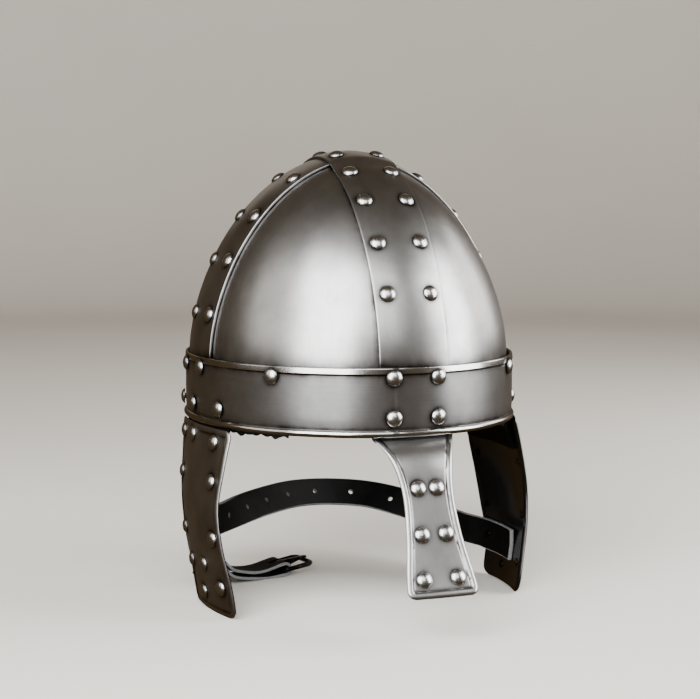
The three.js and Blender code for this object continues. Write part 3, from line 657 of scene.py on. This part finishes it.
# The same brushed steel with its lines along the band, and the polished steel of its border
# and rim.
along_lines = (1 / brush_length, 1 / brush_length, 1 / brush_line)
band_steel = brushed_steel("steel brushed along the band", along_lines, use_uv=False, bright="#b4b4b4")
border_steel = brushed_steel("polished border steel", along_lines, use_uv=False, bright="#d8d8d6",
                             roughness=(0.16, 0.26))
paint(band, band_steel, border_steel, black_enamel)
for face in band.data.polygons:
    drop = band_top.z - face.center.z
    middle = face.center - band_top
    inward = Vector((middle.x, middle.y, 0)).normalized().dot(face.normal) < -0.5
    if inward and drop < band_height - rim_radius:
        face.material_index = 2
    elif drop < border_height or drop > band_height - 2 * rim_radius:
        face.material_index = 1
work_on(band)
bpy.ops.object.shade_smooth_by_angle(angle=round_smooth)
hand_over(band, "plate_steel", "brow_band")

# Nose guard. A steel plate tucks up behind the band, narrows, and flares to a square foot.
# A rounded bead was pressed along its two sides and its foot, with a fine groove inside it that patina and
# painted shade darken.
nasal_length = 86 * MM
nasal_reach = 45 * MM
nasal_half = 26 * MM
nasal_tab_top = 23 * MM
nasal_rim = band_height + gap
# Columns: share of the length from the rim, of the reach forward, and of the half width.
nasal_rows = [
    (0, 0, 1),
    (0.1, 0.22, 0.8),
    (0.31, 0.42, 0.63),
    (0.61, 0.65, 0.67),
    (0.9, 0.9, 0.83),
    (1, 1, 0.87),
]
bead_width = 4 * MM
bead_rise = 1.1 * MM
bead_groove = 0.3 * MM
corner_radius = 5 * MM
nasal_along = 1.25 * nasal_length
groove_reach = 0.5 * MM
foot_round = 0.25
round_until = 0.35
leans_by = 0.2
bead_shows_by = 0.04


def smooth_row(rows, share):
    """The columns of a short table, read smoothly at a share in its first column."""
    share = min(rows[-1][0], max(rows[0][0], share))
    i = max(k for k in range(len(rows) - 1) if rows[k][0] <= share)
    low, high = rows[i], rows[i + 1]
    before = rows[i - 1] if i > 0 else high
    after = rows[i + 2] if i + 2 < len(rows) else low
    span = high[0] - low[0]
    p = (share - low[0]) / span
    lead = span / 2 / (low[0] - before[0])
    trail = span / 2 / (after[0] - high[0])
    weights = (
        -lead * p ** 3 + 2 * lead * p * p - lead * p,
        (1 + lead) * p ** 3 + (-1.5 - 2 * lead) * p * p + (-0.5 + lead) * p + 1,
        (-1 - trail) * p ** 3 + (1.5 + trail) * p * p + 0.5 * p,
        trail * p ** 3 - trail * p * p,
    )
    columns = zip(before[1:], low[1:], high[1:], after[1:])
    return [sum(w * value for w, value in zip(weights, column)) for column in columns]


def corner_inset(end_distance, radius):
    """How far a rounded corner brings the side in, at a distance from the end edge."""
    return radius - math.sqrt(radius ** 2 - min(radius, max(radius - end_distance, 0)) ** 2)


def edge_distance(sideways, endways, radius):
    """Distance in from an outline with a rounded corner, from those to its two plain edges."""
    if sideways < radius and endways < radius:
        return radius - math.hypot(radius - sideways, radius - endways)
    return min(sideways, endways)


def bead_height(distance):
    """Rise of the pressed bead over the plate, and the fine groove that runs inside it."""
    over = 2 * distance / bead_width - 1
    if abs(over) < 1:
        return bead_rise * math.sqrt(1 - over * over)
    return -bead_groove * math.exp(-((distance - bead_width) / groove_reach) ** 2)


def nasal_point(across, share):
    reach, half = smooth_row(nasal_rows, share)
    half *= nasal_half
    end = (1 - share) * nasal_length
    half_here = half - corner_inset(end, corner_radius)
    x = across * half_here
    width, length, _ = shell_axes(strap_depth)
    still_round = foot_round + (1 - foot_round) * (1 - smooth_step(0, round_until, share))
    sag = length * (1 - math.sqrt(1 - (x / width) ** 2)) * still_round
    lean = math.atan2(nasal_reach, nasal_length) * smooth_step(0, leans_by, share)
    y = -(half_length - strap_depth) - reach * nasal_reach + sag
    point = Vector((x, y, -nasal_rim - share * nasal_length))
    out = Vector((0, -math.cos(lean), math.sin(lean)))
    shown = smooth_step(0, bead_shows_by, share)
    relief = bead_height(edge_distance(half - abs(x), end, corner_radius)) * shown
    return point, out, relief - bead_rise


nasal_tab_share = 0.18


def place_nasal(u, v):
    share = (1 - v - nasal_tab_share) / (1 - nasal_tab_share)
    point, out, relief = nasal_point(2 * u - 1, max(0, share))
    if share < 0:
        point.z = -nasal_rim - share / nasal_tab_share * (1 - nasal_tab_share) * (nasal_rim - nasal_tab_top)
    return point + out * relief


def nasal_spot(across, share):
    point, _, _ = nasal_point(across, share)
    higher, _, _ = nasal_point(across, share - 0.01)
    beside, _, _ = nasal_point(across + 0.01, share)
    out = (beside - point).cross(higher - point).normalized()
    return point - out * bead_rise, out


# Columns: share of the length from the rim, and of the half width across.
nasal_rivet_rows = ((0.314, 0.36), (0.607, 0.44), (0.885, 0.5))
nasal_spots = [nasal_spot(side * across, share)
               for share, across in nasal_rivet_rows for side in (-1, 1)]


def nasal_edge(spot):
    """Distance in from the bead's inner foot, for the line of patina and painted shade along it."""
    share = (-spot.z - nasal_rim) / nasal_length
    if share < 0:
        return 0
    half = smooth_row(nasal_rows, share)[1] * nasal_half
    inside = edge_distance(half - abs(spot.x), (1 - share) * nasal_length, corner_radius)
    return abs(inside - bead_width)


nasal = bent_sheet("nose_guard_steel", 64, 120, 2 * nasal_half, nasal_along, place_nasal)
antique_and_shade(nasal, nasal_edge, nasal_spots, fade=0.6 * MM)
paint(nasal, plate_steel, black_enamel)
give_wall(nasal, plate_wall)
hand_over(nasal, "plate_steel", "nasal")

# Cheek guards. Each is a steel plate with a pressed bead all round, bowed out over the cheek
# and cut back towards the jaw. It hangs from a leather hinge inside the band, just under the
# rim, and its lower edge now stands on the floor.
cheek_gap = 2.2 * MM
cheek_length = 114 * MM
cheek_front = 60 * MM
cheek_back = 33 * MM
cheek_top = band_height + cheek_gap
stand_height = cheek_top + cheek_length
cheek_corner = 5 * MM
cheek_over = 0.012
cheek_bead_share = 0.75
back_bead_share = 0.92
cheek_edge_round = 0.4 * MM
# Columns: share of the length, of the reach forward, how far out its front edge is as a share of
# the half width, then the same two for the back edge, and how much it bows out between them.
cheek_rows = [
    (0, 0.885, 0.91, 0.97, 0.964, 0.056),
    (0.18, 0.887, 0.954, 1, 0.971, 0.052),
    (0.4, 0.885, 0.993, 0.83, 0.996, 0.047),
    (0.6, 0.94, 0.981, 0.56, 1.002, 0.042),
    (0.8, 1, 0.938, 0.2, 0.99, 0.037),
    (0.965, 0.995, 0.91, 0.14, 0.966, 0.033),
    (1, 0.95, 0.905, 0.1, 0.962, 0.031),
]


def cheek_out(y, drop):
    """Distance of the guard's outer face from the middle, at a place on it."""
    front, front_out, back, back_out, bulge = smooth_row(cheek_rows, (drop - cheek_top) / cheek_length)
    across = (y + front * cheek_front) / (back * cheek_back + front * cheek_front)
    across = min(1, max(0, across))
    return (front_out + (back_out - front_out) * across + 4 * bulge * across * (1 - across)) * half_width


def cheek_relief(y, share):
    front, _, back, _, _ = smooth_row(cheek_rows, share)
    sideways = min(y + front * cheek_front, (back * cheek_back - y) * back_bead_share)
    endways = min(share + cheek_over, 1 - share) * cheek_length
    return edge_distance(sideways, endways, cheek_corner)


def place_cheek(u, v):
    share = 1 - v * (1 + cheek_over)
    front, _, back, _, _ = smooth_row(cheek_rows, share)
    inset = corner_inset(min(share + cheek_over, 1 - share) * cheek_length, cheek_corner)
    start, end = -front * cheek_front + inset, back * cheek_back - inset
    y = start + (end - start) * u
    drop = cheek_top + share * cheek_length
    relief = bead_height(cheek_relief(y, share)) * cheek_bead_share
    return Vector((cheek_out(y, drop) + relief, y, -drop))


def cheek_spots(places):
    """Rivet places. Columns: y as a share of the front reach, share of the length."""
    spots = []
    for y_share, share in places:
        y, drop = y_share * cheek_front, cheek_top + share * cheek_length
        at = Vector((cheek_out(y, drop), y, -drop))
        over = Vector((cheek_out(y + MM, drop), y + MM, -drop)) - at
        up = Vector((cheek_out(y, drop - MM), y, MM - drop)) - at
        spots.append((at, over.cross(up).normalized()))
    return spots


cheek_hinge_spots = cheek_spots([(-0.6, 0.062), (-0.03, 0.052), (0.4, 0.062)])
cheek_strap_spots = cheek_spots([(-0.46, 0.74), (-0.01, 0.76)])
cheek_plain_spots = cheek_spots([(-0.67, 0.27), (-0.76, 0.572), (0.36, 0.29), (0.16, 0.59),
                                 (-0.8, 0.84), (-0.34, 0.905)])


def cheek_edge(spot):
    share = min(1, max(-cheek_over, (-spot.z - cheek_top) / cheek_length))
    return abs(cheek_relief(spot.y, share) - bead_width)


cheek = bent_sheet("cheek_guard_steel_left", 92, 120, 2 * cheek_front, cheek_length, place_cheek)
# Patina and painted shade darken the line inside the bead and a ring round each rivet.
antique_and_shade(cheek, cheek_edge, cheek_hinge_spots + cheek_strap_spots + cheek_plain_spots, fade=0.6 * MM)
paint(cheek, plate_steel, black_enamel)
give_wall(cheek, plate_wall, rim_slot=1, edge=cheek_edge_round)
plain_rivet = turned_rivet("plain_rivet_model", plate_wall)
paint(plain_rivet, rivet_steel)
fasten(cheek, plain_rivet, cheek_plain_spots)
bpy.data.objects.remove(plain_rivet)
hand_over(mirrored(cheek, "cheek_guard_steel_right"), "plate_steel", "cheek_guard_right")
hand_over(cheek, "plate_steel", "cheek_guard_left")

# Hinge leathers. A strip of thick black leather is riveted inside the band on each side, and
# the cheek guard is riveted over its lower part. Its forward end was torn off roughly and
# shows as a ragged edge under the rim.
leather_wall = 2 * MM
hinge_top = 24 * MM
hinge_low = cheek_top + 22 * MM
hinge_peek = 1.8 * MM
hinge_start = math.radians(43)
hinge_end = math.radians(112)
ragged = 2.4 * MM
behind_from, behind_full = -0.74, -0.69
behind_until, behind_gone = 0.86, 0.93
tear_waves = 20
nick_waves = 45
nick_share = 0.2
hinge_edge_round = 0.3 * MM
hinge_along = 150 * MM
hinge_deep = 45 * MM


def place_hinge(u, v):
    turn = hinge_start + (hinge_end - hinge_start) * u
    point, _ = band_plan(turn, -strap_depth - gap / 2)
    behind = smooth_step(cheek_front * behind_from, cheek_front * behind_full, point.y)
    behind *= 1 - smooth_step(cheek_back * behind_until, cheek_back * behind_gone, point.y)
    tear = noise.noise(Vector((turn * tear_waves, 0, 0)))
    tear += nick_share * noise.noise(Vector((turn * nick_waves, 3, 0)))
    short = band_height + hinge_peek + ragged * tear
    drop = hinge_top + ((hinge_low - short) * behind + short - hinge_top) * (1 - v)
    hung = smooth_step(band_height - 3 * MM, cheek_top + 4 * MM, drop)
    x = point.x + (cheek_out(point.y, drop) - plate_wall - gap - point.x) * hung * behind
    return Vector((x, point.y, -drop))


# Bridle leather dyed black and waxed: nearly black with a low sheen, a fine pebble grain about
# 0.8 mm across, and a few dull creases.
pebble = 0.8 * MM
crease = 9 * MM
black_leather, tree, shader, body = new_material("black bridle leather")
pebbles = add_node(tree, "TexVoronoi", {"Scale": 1 / pebble}, {"Vector": body})
creases = add_node(tree, "TexNoise", {"Scale": 1 / crease, "Detail": 6, "Roughness": 0.7},
                   {"Vector": body})
wax = add_node(tree, "MapRange", {"To Min": 0.42, "To Max": 0.7},
               {"Value": creases.outputs["Fac"]})
shader.inputs["Specular IOR Level"].default_value = 0.1
pebbled = add_node(tree, "Bump", {"Strength": 0.35, "Distance": 0.12 * MM},
                   {"Height": pebbles.outputs["Distance"]})
wrinkled = add_node(tree, "Bump", {"Strength": 0.4, "Distance": 0.3 * MM},
                    {"Height": creases.outputs["Fac"], "Normal": pebbled.outputs[0]})
link(tree, shader, {
    "Base Color": two_tone(tree, creases.outputs["Fac"], "#030303", "#0b0c0d", 0.35, 0.75),
    "Roughness": wax.outputs[0], "Normal": wrinkled.outputs[0],
})

# The same leather where it was cut: rough grey fibres about 0.4 mm thick, without dye or wax.
fibre = 0.4 * MM
cut_leather, tree, shader, body = new_material("cut leather edge")
fibres = add_node(tree, "TexNoise", {"Scale": 1 / fibre, "Detail": 3},
                  {"Vector": body})
shader.inputs["Roughness"].default_value = 0.85
frayed = add_node(tree, "Bump", {"Strength": 0.6, "Distance": 0.15 * MM},
                  {"Height": fibres.outputs["Fac"]})
link(tree, shader, {
    "Base Color": two_tone(tree, fibres.outputs["Fac"], "#3c3d40", "#8b8c90", 0.3, 0.7),
    "Normal": frayed.outputs[0],
})

hinge = bent_sheet("hinge_leather_strip_left", 130, 26, hinge_along, hinge_deep, place_hinge)
paint(hinge, black_leather)
give_wall(hinge, leather_wall, inner_slot=0, edge=hinge_edge_round)
hand_over(mirrored(hinge, "hinge_leather_strip_right"), "black_leather", "hinge_leather_right")
hand_over(hinge, "black_leather", "hinge_leather_left")

# Rivets through two pieces. They are all turned from one model, with a shank as long as what
# it holds and a peened end inside, and each is set in the place of its node.
strap_width = 20 * MM
tongue_wall = 2.6 * MM
folded_gap = 0.8 * MM
plate_grip = infill_depth + plate_wall
tab_grip = strap_depth + bead_rise + plate_wall
leather_grip = strap_depth + leather_wall
guard_grip = plate_wall + gap + leather_wall
buckle_strap_wall = 2 * leather_wall + folded_gap
mirror = Matrix.Diagonal((-1, 1, 1))
right_hinge_spots = [(mirror @ at, mirror @ out) for at, out in cheek_hinge_spots]
right_strap_spots = [(mirror @ at, mirror @ out) for at, out in cheek_strap_spots]
rivet_sets = {
    plate_grip: {name: band_rivets[name]
                 for name in ("band_rivet_ridge", "band_rivet_side", "band_rivet_plate")},
    tab_grip: {name: band_rivets[name] for name in ("band_rivet_nasal", "band_rivet_back")},
    leather_grip: {"band_rivet_hinge": band_rivets["band_rivet_hinge"]},
    plate_wall: {"nasal_rivet": nasal_spots},
    guard_grip: {"cheek_left_hinge_rivet": cheek_hinge_spots, "cheek_right_hinge_rivet": right_hinge_spots},
    plate_wall + gap + tongue_wall: {"cheek_left_strap_rivet": cheek_strap_spots},
    plate_wall + gap + buckle_strap_wall: {"cheek_right_strap_rivet": right_strap_spots},
}
for grip, named_spots in rivet_sets.items():
    rivet_model = turned_rivet("rivet_model", grip)
    paint(rivet_model, rivet_steel)
    for name, spots in named_spots.items():
        for i, spot in enumerate(spots):
            rivet = set_rivet(rivet_model, spot, f"{name}_steel_{i + 1}")
            hand_over(rivet, "rivet_steel", f"{name}_{i + 1}")
    bpy.data.objects.remove(rivet_model)

# Tongue strap. A long strap of black leather with punched holes is riveted inside the left
# cheek guard. It runs on edge round the back, stiff enough to stand, and its free end leans
# inside the right guard.
hole_radius = 1.7 * MM
hole_sides = 16
hole_spacing = 29.5 * MM
hole_count = 8
tip_length = 14 * MM
tongue_seat = 0.824
tongue_end = 0.66
tongue_lean = math.radians(33)
lean_starts = (0.12, 0.3)
lean_ends = (0.6, 0.8)
tip_share = 0.42
tongue_edge_round = 0.5 * MM
curve_parts = 60
behind_guard = plate_wall + gap
# Columns: shares of the half width, of the half length, and of the drop from band to floor.
tongue_route = [
    (-0.829, -0.017, 0.667),
    (-0.6, 0.224, 0.67),
    (-0.343, 0.465, 0.676),
    (-0.076, 0.663, 0.686),
    (0.19, 0.749, 0.702),
    (0.438, 0.723, 0.721),
    (0.629, 0.594, 0.749),
    (0.781, 0.387, 0.784),
    (0.876, 0.189, 0.812),
]


def inside_guard(side, y_share, drop_share, wall):
    y, drop = y_share * cheek_front, drop_share * stand_height
    return Vector((side * (cheek_out(y, drop) - behind_guard - wall / 2), y, -drop))


def shared_point(x, y, drop):
    return Vector((x * half_width, y * half_length, -drop * stand_height))


def pressed(point, depth):
    """Keeps a strap's point inside the guard's inner face by a depth."""
    limit = cheek_out(point.y, -point.z) - behind_guard - depth
    point.x = min(limit, max(-limit, point.x))
    return point


def smooth_route(points, steps):
    """Points a like distance apart on a smooth curve through the given ones, and its length."""
    first, last = 2 * points[0] - points[1], 2 * points[-1] - points[-2]
    knots = [first] + points + [last]
    fine = []
    for before, start, end, after in zip(knots, knots[1:], knots[2:], knots[3:]):
        lead, span, trail = [math.sqrt((b - a).length) for a, b in
                             ((before, start), (start, end), (end, after))]
        leave = ((start - before) / lead - (end - before) / (lead + span) + (end - start) / span) * span
        arrive = ((end - start) / span - (after - start) / (span + trail) + (after - end) / trail) * span
        for i in range(curve_parts):
            t = i / curve_parts
            fine.append(start + leave * t + (3 * (end - start) - 2 * leave - arrive) * t ** 2
                        + (2 * (start - end) + leave + arrive) * t ** 3)
    fine.append(points[-1])
    marks = [0]
    for a, b in zip(fine, fine[1:]):
        marks.append(marks[-1] + (b - a).length)
    route, k = [], 0
    for i in range(steps + 1):
        wanted = marks[-1] * i / steps
        while k < len(marks) - 2 and marks[k + 1] < wanted:
            k += 1
        share = (wanted - marks[k]) / (marks[k + 1] - marks[k])
        route.append(fine[k].lerp(fine[k + 1], share))
    return route, marks[-1]


tongue_steps = 260
tongue_points, tongue_length = smooth_route([
    inside_guard(-1, -0.72, tongue_end, tongue_wall),
    inside_guard(-1, -0.42, tongue_end, tongue_wall + 2 * gap),
    *[shared_point(*row) for row in tongue_route],
    *[inside_guard(1, y_share, tongue_seat, tongue_wall) for y_share in (0.02, -0.24, -0.46, -0.63)],
], tongue_steps)


def along_route(points, share):
    """A point of the route and its direction, at a share of its length."""
    place = min(max(share, 0), 1) * (len(points) - 1)
    i = min(int(place), len(points) - 2)
    low, high = max(i - 1, 0), min(i + 2, len(points) - 1)
    return points[i].lerp(points[i + 1], place - i), (points[high] - points[low]).normalized()


def tongue_at(share):
    """A point of the strap, the way through it and the way up it. Its upper edge leans out."""
    at, onward = along_route(tongue_points, share)
    lean = tongue_lean * (smooth_step(*lean_starts, share) - smooth_step(*lean_ends, share))
    inward = onward.cross(Vector((0, 0, 1))).normalized()
    out = inward * math.cos(lean) + inward.cross(onward).normalized() * math.sin(lean)
    return at, out, out.cross(onward).normalized()


def place_tongue(u, v):
    at, out, up = tongue_at(v)
    tip = min(1, v * tongue_length / tip_length)
    taper = tip_share + (1 - tip_share) * math.sin(tip * math.pi / 2)
    point = at + out * (tongue_wall / 2) + up * ((0.5 - u) * strap_width * taper)
    return pressed(point, tongue_wall)


def punch(piece, cutters):
    """Cuts the tools' shape out of a piece and takes the tools away."""
    work_on(cutters[0])
    for cutter in cutters:
        cutter.select_set(True)
    if len(cutters) > 1:
        bpy.ops.object.join()
    tool = bpy.context.object
    cut = piece.modifiers.new("cut", "BOOLEAN")
    cut.operation = "DIFFERENCE"
    cut.solver = "EXACT"
    cut.object = tool
    apply_modifiers(piece)
    bpy.data.objects.remove(tool)
    bpy.ops.object.shade_smooth_by_angle(angle=sheet_smooth)


tongue = bent_sheet("tongue_strap_leather", 12, tongue_steps, strap_width, tongue_length, place_tongue)
paint(tongue, black_leather, cut_leather)
give_wall(tongue, tongue_wall, inner_slot=0, rim_slot=1, edge=tongue_edge_round, edge_slot=1)
punches = []
for i in range(hole_count):
    at, out, _ = tongue_at((2 * tip_length + i * hole_spacing) / tongue_length)
    bare_selection()
    turn = out.to_track_quat("Z", "Y").to_euler()
    bpy.ops.mesh.primitive_cylinder_add(vertices=hole_sides, radius=hole_radius, depth=4 * tongue_wall,
                                        location=at + band_top, rotation=turn)
    hole = bpy.context.object
    paint(hole, black_leather, cut_leather)
    for face in hole.data.polygons:
        face.material_index = 1
    punches.append(hole)
punch(tongue, punches)
hand_over(tongue, "black_leather", "tongue_strap")

# Buckle strap. A short strap is doubled round the buckle's bar and both plies are riveted
# inside the right guard. It leaves the guard backwards, turns flat and lies on the floor, and
# its pale cut edges show the two plies.
buckle_bar = 3.2 * MM
bar_radius = buckle_bar / 2
bar_corner = bar_radius * math.sqrt(2)
fold_shut = (folded_gap + leather_wall) / 2
fold_open = bar_corner + gap + leather_wall / 2
fold_opens_from = 0.78
flat_from = 0.36
flat_to = 0.68
lying_gap = 0.6 * MM
ply_edge_round = 0.35 * MM
slot_width = 4.4 * MM
bulge_span = (0.5, 0.95)


def lying_drop(fold_half):
    return (stand_height - lying_gap - fold_half - leather_wall / 2) / stand_height


buckle_points, buckle_length_along = smooth_route([
    *[inside_guard(-1, y_share, drop_share, buckle_strap_wall) for y_share, drop_share in
      ((-0.62, 0.826), (-0.46, 0.826), (-0.24, 0.828), (-0.01, 0.832))],
    shared_point(-0.945, 0.1, 0.845),
    shared_point(-0.84, 0.24, 0.9),
    shared_point(-0.68, 0.335, 0.96),
    shared_point(-0.48, 0.395, lying_drop(fold_shut)),
    shared_point(-0.3, 0.425, lying_drop(fold_open)),
], 120)


def buckle_at(share):
    """A point of the doubled strap's middle, with its ways onward, through and across."""
    at, onward = along_route(buckle_points, share)
    level = Vector((0, 0, 1)).cross(onward).normalized()
    up = onward.cross(level).normalized()
    turn = math.pi / 2 * (1 - smooth_step(flat_from, flat_to, share))
    through = up * math.cos(turn) + level * math.sin(turn)
    return at, onward, through, through.cross(onward).normalized()


ply_steps = 80
bend_steps = 12
ply_total = 2 * ply_steps + bend_steps
ply_bulge = 1.5 * MM


def place_buckle_strap(u, v):
    step = v * ply_total
    share = min(step, ply_total - step) / ply_steps
    half = fold_shut + (fold_open - fold_shut) * smooth_step(fold_opens_from, 1, share)
    side = 1 if step <= ply_steps else -1
    offset, beyond = side * half, 0
    if share > 1:
        turn = (step - ply_steps) / bend_steps * math.pi
        offset, beyond = half * math.cos(turn), half * math.sin(turn)
    elif side > 0:
        offset += ply_bulge * math.sin(math.pi * smooth_step(*bulge_span, share))
    at, onward, through, across = buckle_at(min(share, 1))
    point = at + through * offset + onward * beyond + across * ((u - 0.5) * strap_width)
    return pressed(point, half - offset + leather_wall)


buckle_strap = bent_sheet("buckle_strap_leather", 10, ply_total, strap_width,
                          2 * buckle_length_along, place_buckle_strap)
paint(buckle_strap, black_leather, cut_leather)
give_wall(buckle_strap, leather_wall, inner_slot=0, rim_slot=1, offset=0, edge=ply_edge_round,
          edge_slot=1)
prong_slot = (3 * fold_open + 2 * leather_wall, slot_width, 3 * fold_open)
bar_at, bar_onward, bar_through, bar_across = buckle_at(1)
bar_turn = Matrix((bar_onward, bar_across, bar_through)).transposed().to_4x4()
bar_place = Matrix.Translation(bar_at + band_top) @ bar_turn
bare_selection()
bpy.ops.mesh.primitive_cube_add(size=1)
slot_tool = bpy.context.object
slot_tool.data.transform(bar_place @ Matrix.Diagonal((*prong_slot, 1)))
paint(slot_tool, black_leather)
punch(buckle_strap, [slot_tool])
hand_over(buckle_strap, "black_leather", "buckle_strap")

# Buckle. A loop of round steel wire, blackened in hot oil, with a bar that the strap folds
# round and a flat prong hooked on that bar.
buckle_width = 27 * MM
buckle_long = 21 * MM
wire_radius = 1.6 * MM
loop_corner = 4 * MM
bar_end_corner = 0.8 * MM
corner_steps = 6
wire_sides = 12

# Steel blackened in hot oil: near black with a soft shine, worn to bare grey in spots.
wear_size = 4 * MM
oiled_steel, tree, shader, body = new_material("oil blackened steel")
worn = add_node(tree, "TexNoise", {"Scale": 1 / wear_size, "Detail": 5}, {"Vector": body})
rubbed = add_node(tree, "MapRange", {"To Min": 0.2, "To Max": 0.42},
                  {"Value": worn.outputs["Fac"]})
shader.inputs["Metallic"].default_value = 0.9
cast = add_node(tree, "Bump", {"Strength": 0.3, "Distance": 0.1 * MM},
                {"Height": worn.outputs["Fac"]})
link(tree, shader, {
    "Base Color": two_tone(tree, worn.outputs["Fac"], "#17181a", "#6a6b6e", 0.5, 0.85),
    "Roughness": rubbed.outputs[0], "Normal": cast.outputs[0],
})

loop_path = []
inner_x, outer_x = 0, buckle_long - wire_radius
half_y = buckle_width / 2 - wire_radius
for centre_x, centre_y, start in ((outer_x, half_y, 0), (inner_x, half_y, 90),
                                  (inner_x, -half_y, 180), (outer_x, -half_y, 270)):
    radius = loop_corner if centre_x else bar_end_corner
    middle_x = centre_x - math.copysign(radius, centre_x - buckle_long / 2)
    middle_y = centre_y - math.copysign(radius, centre_y)
    for i in range(corner_steps + 1):
        turn = math.radians(start + 90 / corner_steps * i)
        loop_path.append((middle_x + radius * math.cos(turn), middle_y + radius * math.sin(turn)))
bare_selection()
bpy.ops.curve.primitive_bezier_circle_add()
loop = bpy.context.object
loop.data.splines.clear()
wire = loop.data.splines.new("POLY")
wire.points.add(len(loop_path) - 1)
for point, (x, y) in zip(wire.points, loop_path):
    point.co = (x, y, 0, 1)
wire.use_cyclic_u = True
loop.data.bevel_depth = wire_radius
loop.data.bevel_resolution = wire_sides // 4
bpy.ops.object.convert(target="MESH")
loop = bpy.context.object
loop.name = loop.data.name = "buckle_loop_steel"
loop.data.transform(bar_place)
loop.data.materials.clear()
paint(loop, oiled_steel)
bpy.ops.object.shade_smooth_by_angle(angle=round_smooth)
hand_over(loop, "blackened_steel", "buckle_frame")

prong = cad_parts["buckle_prong"]
prong.data.materials.clear()
paint(prong, oiled_steel)

# Studio. A pale floor that curves up into a low wall all round, under six soft boxes: strong
# ones in front on the left and right, weak ones further round on each side, a small one high in
# front and a weak one behind. The steel reflects the dark studio, and the floor is left out.
floor_radius = 2.3
wall_curve = 0.7
wall_height = 1.3
curve_steps = 10
floor_sides = 128
mottles_per_metre = 3
bare_selection()
bpy.ops.mesh.primitive_circle_add(vertices=floor_sides, radius=floor_radius, fill_type="NGON")
floor = bpy.context.object
floor.name = "studio_floor"
bpy.ops.object.mode_set(mode="EDIT")
bpy.ops.mesh.select_all(action="SELECT")
bpy.ops.mesh.region_to_loop()
sweep = [(floor_radius + wall_curve * math.sin(a), wall_curve * (1 - math.cos(a)))
         for a in (math.pi / 2 * i / curve_steps for i in range(curve_steps + 1))]
sweep.append((floor_radius + wall_curve, wall_curve + wall_height))
extrude_rings(sweep)
bpy.ops.object.mode_set(mode="OBJECT")
bpy.ops.object.shade_smooth_by_angle(angle=sheet_smooth)
paper, tree, shader, body = new_material("pale studio paper")
mottle = add_node(tree, "TexNoise", {"Scale": mottles_per_metre, "Detail": 3},
                  {"Vector": body})
link(tree, shader, {"Base Color": two_tone(tree, mottle.outputs["Fac"], "#e6e2da", "#edeae3")})
shader.inputs["Roughness"].default_value = 0.85
paint(floor, paper)
floor.visible_glossy = False

# Rectangular lamps that face the helmet. Columns: name, angle round from the front towards the
# wearer's left in degrees, distance, height, width, length, power in watts, colour.
soft_boxes = [
    ("soft_box_left", -45, 1.25, 0.75, 1.05, 1.45, 50, "#ffffff"),
    ("soft_box_far_left", -90, 1.3, 0.75, 0.8, 0.9, 3.6, "#fffaf4"),
    ("soft_box_overhead", -4, 1.05, 0.88, 0.65, 0.75, 6, "#ffffff"),
    ("soft_box_right", 61, 1.3, 0.6, 0.85, 1.1, 31, "#ffffff"),
    ("soft_box_far_right", 99, 1.3, 0.56, 0.6, 0.7, 6, "#fffaf4"),
    ("soft_box_back", 165, 1.6, 0.9, 1.2, 0.8, 1.2, "#fff4e6"),
]
aim = Vector((band_top.x, band_top.y, 0.16))
for name, azimuth, distance, height, width, tall, power, colour in soft_boxes:
    turn = math.radians(azimuth)
    at = Vector((math.sin(turn) * distance, -math.cos(turn) * distance, height))
    at += Vector((aim.x, aim.y, 0))
    bpy.ops.object.light_add(type="AREA", location=at,
                             rotation=(aim - at).to_track_quat("-Z", "Y").to_euler())
    lamp = bpy.context.object
    lamp.name = name
    lamp.data.shape = "RECTANGLE"
    lamp.data.size = width
    lamp.data.size_y = tall
    lamp.data.energy = power
    lamp.data.color = linear(colour)[:3]
    lamp.visible_camera = False

dark_fill = 0.82
world = bpy.data.worlds.new("dark studio")
bpy.context.scene.world = world
world.use_nodes = True
surround = world.node_tree.nodes["Background"]
surround.inputs["Color"].default_value = linear("#534126")
surround.inputs["Strength"].default_value = dark_fill

# Camera, level with the upper crown and a little to the wearer's right.
camera_place = Vector((-382.9, -1016.2, 108.4)) * MM
camera_down = 5.715
camera_turn = -20.72
lens = 86.13
sensor_width = 36
bpy.ops.object.camera_add(
    location=band_top + camera_place,
    rotation=(math.radians(90 - camera_down), 0, math.radians(camera_turn)),
)
camera = bpy.context.object
camera.data.sensor_width = sensor_width
camera.data.lens = lens
bpy.context.scene.camera = camera
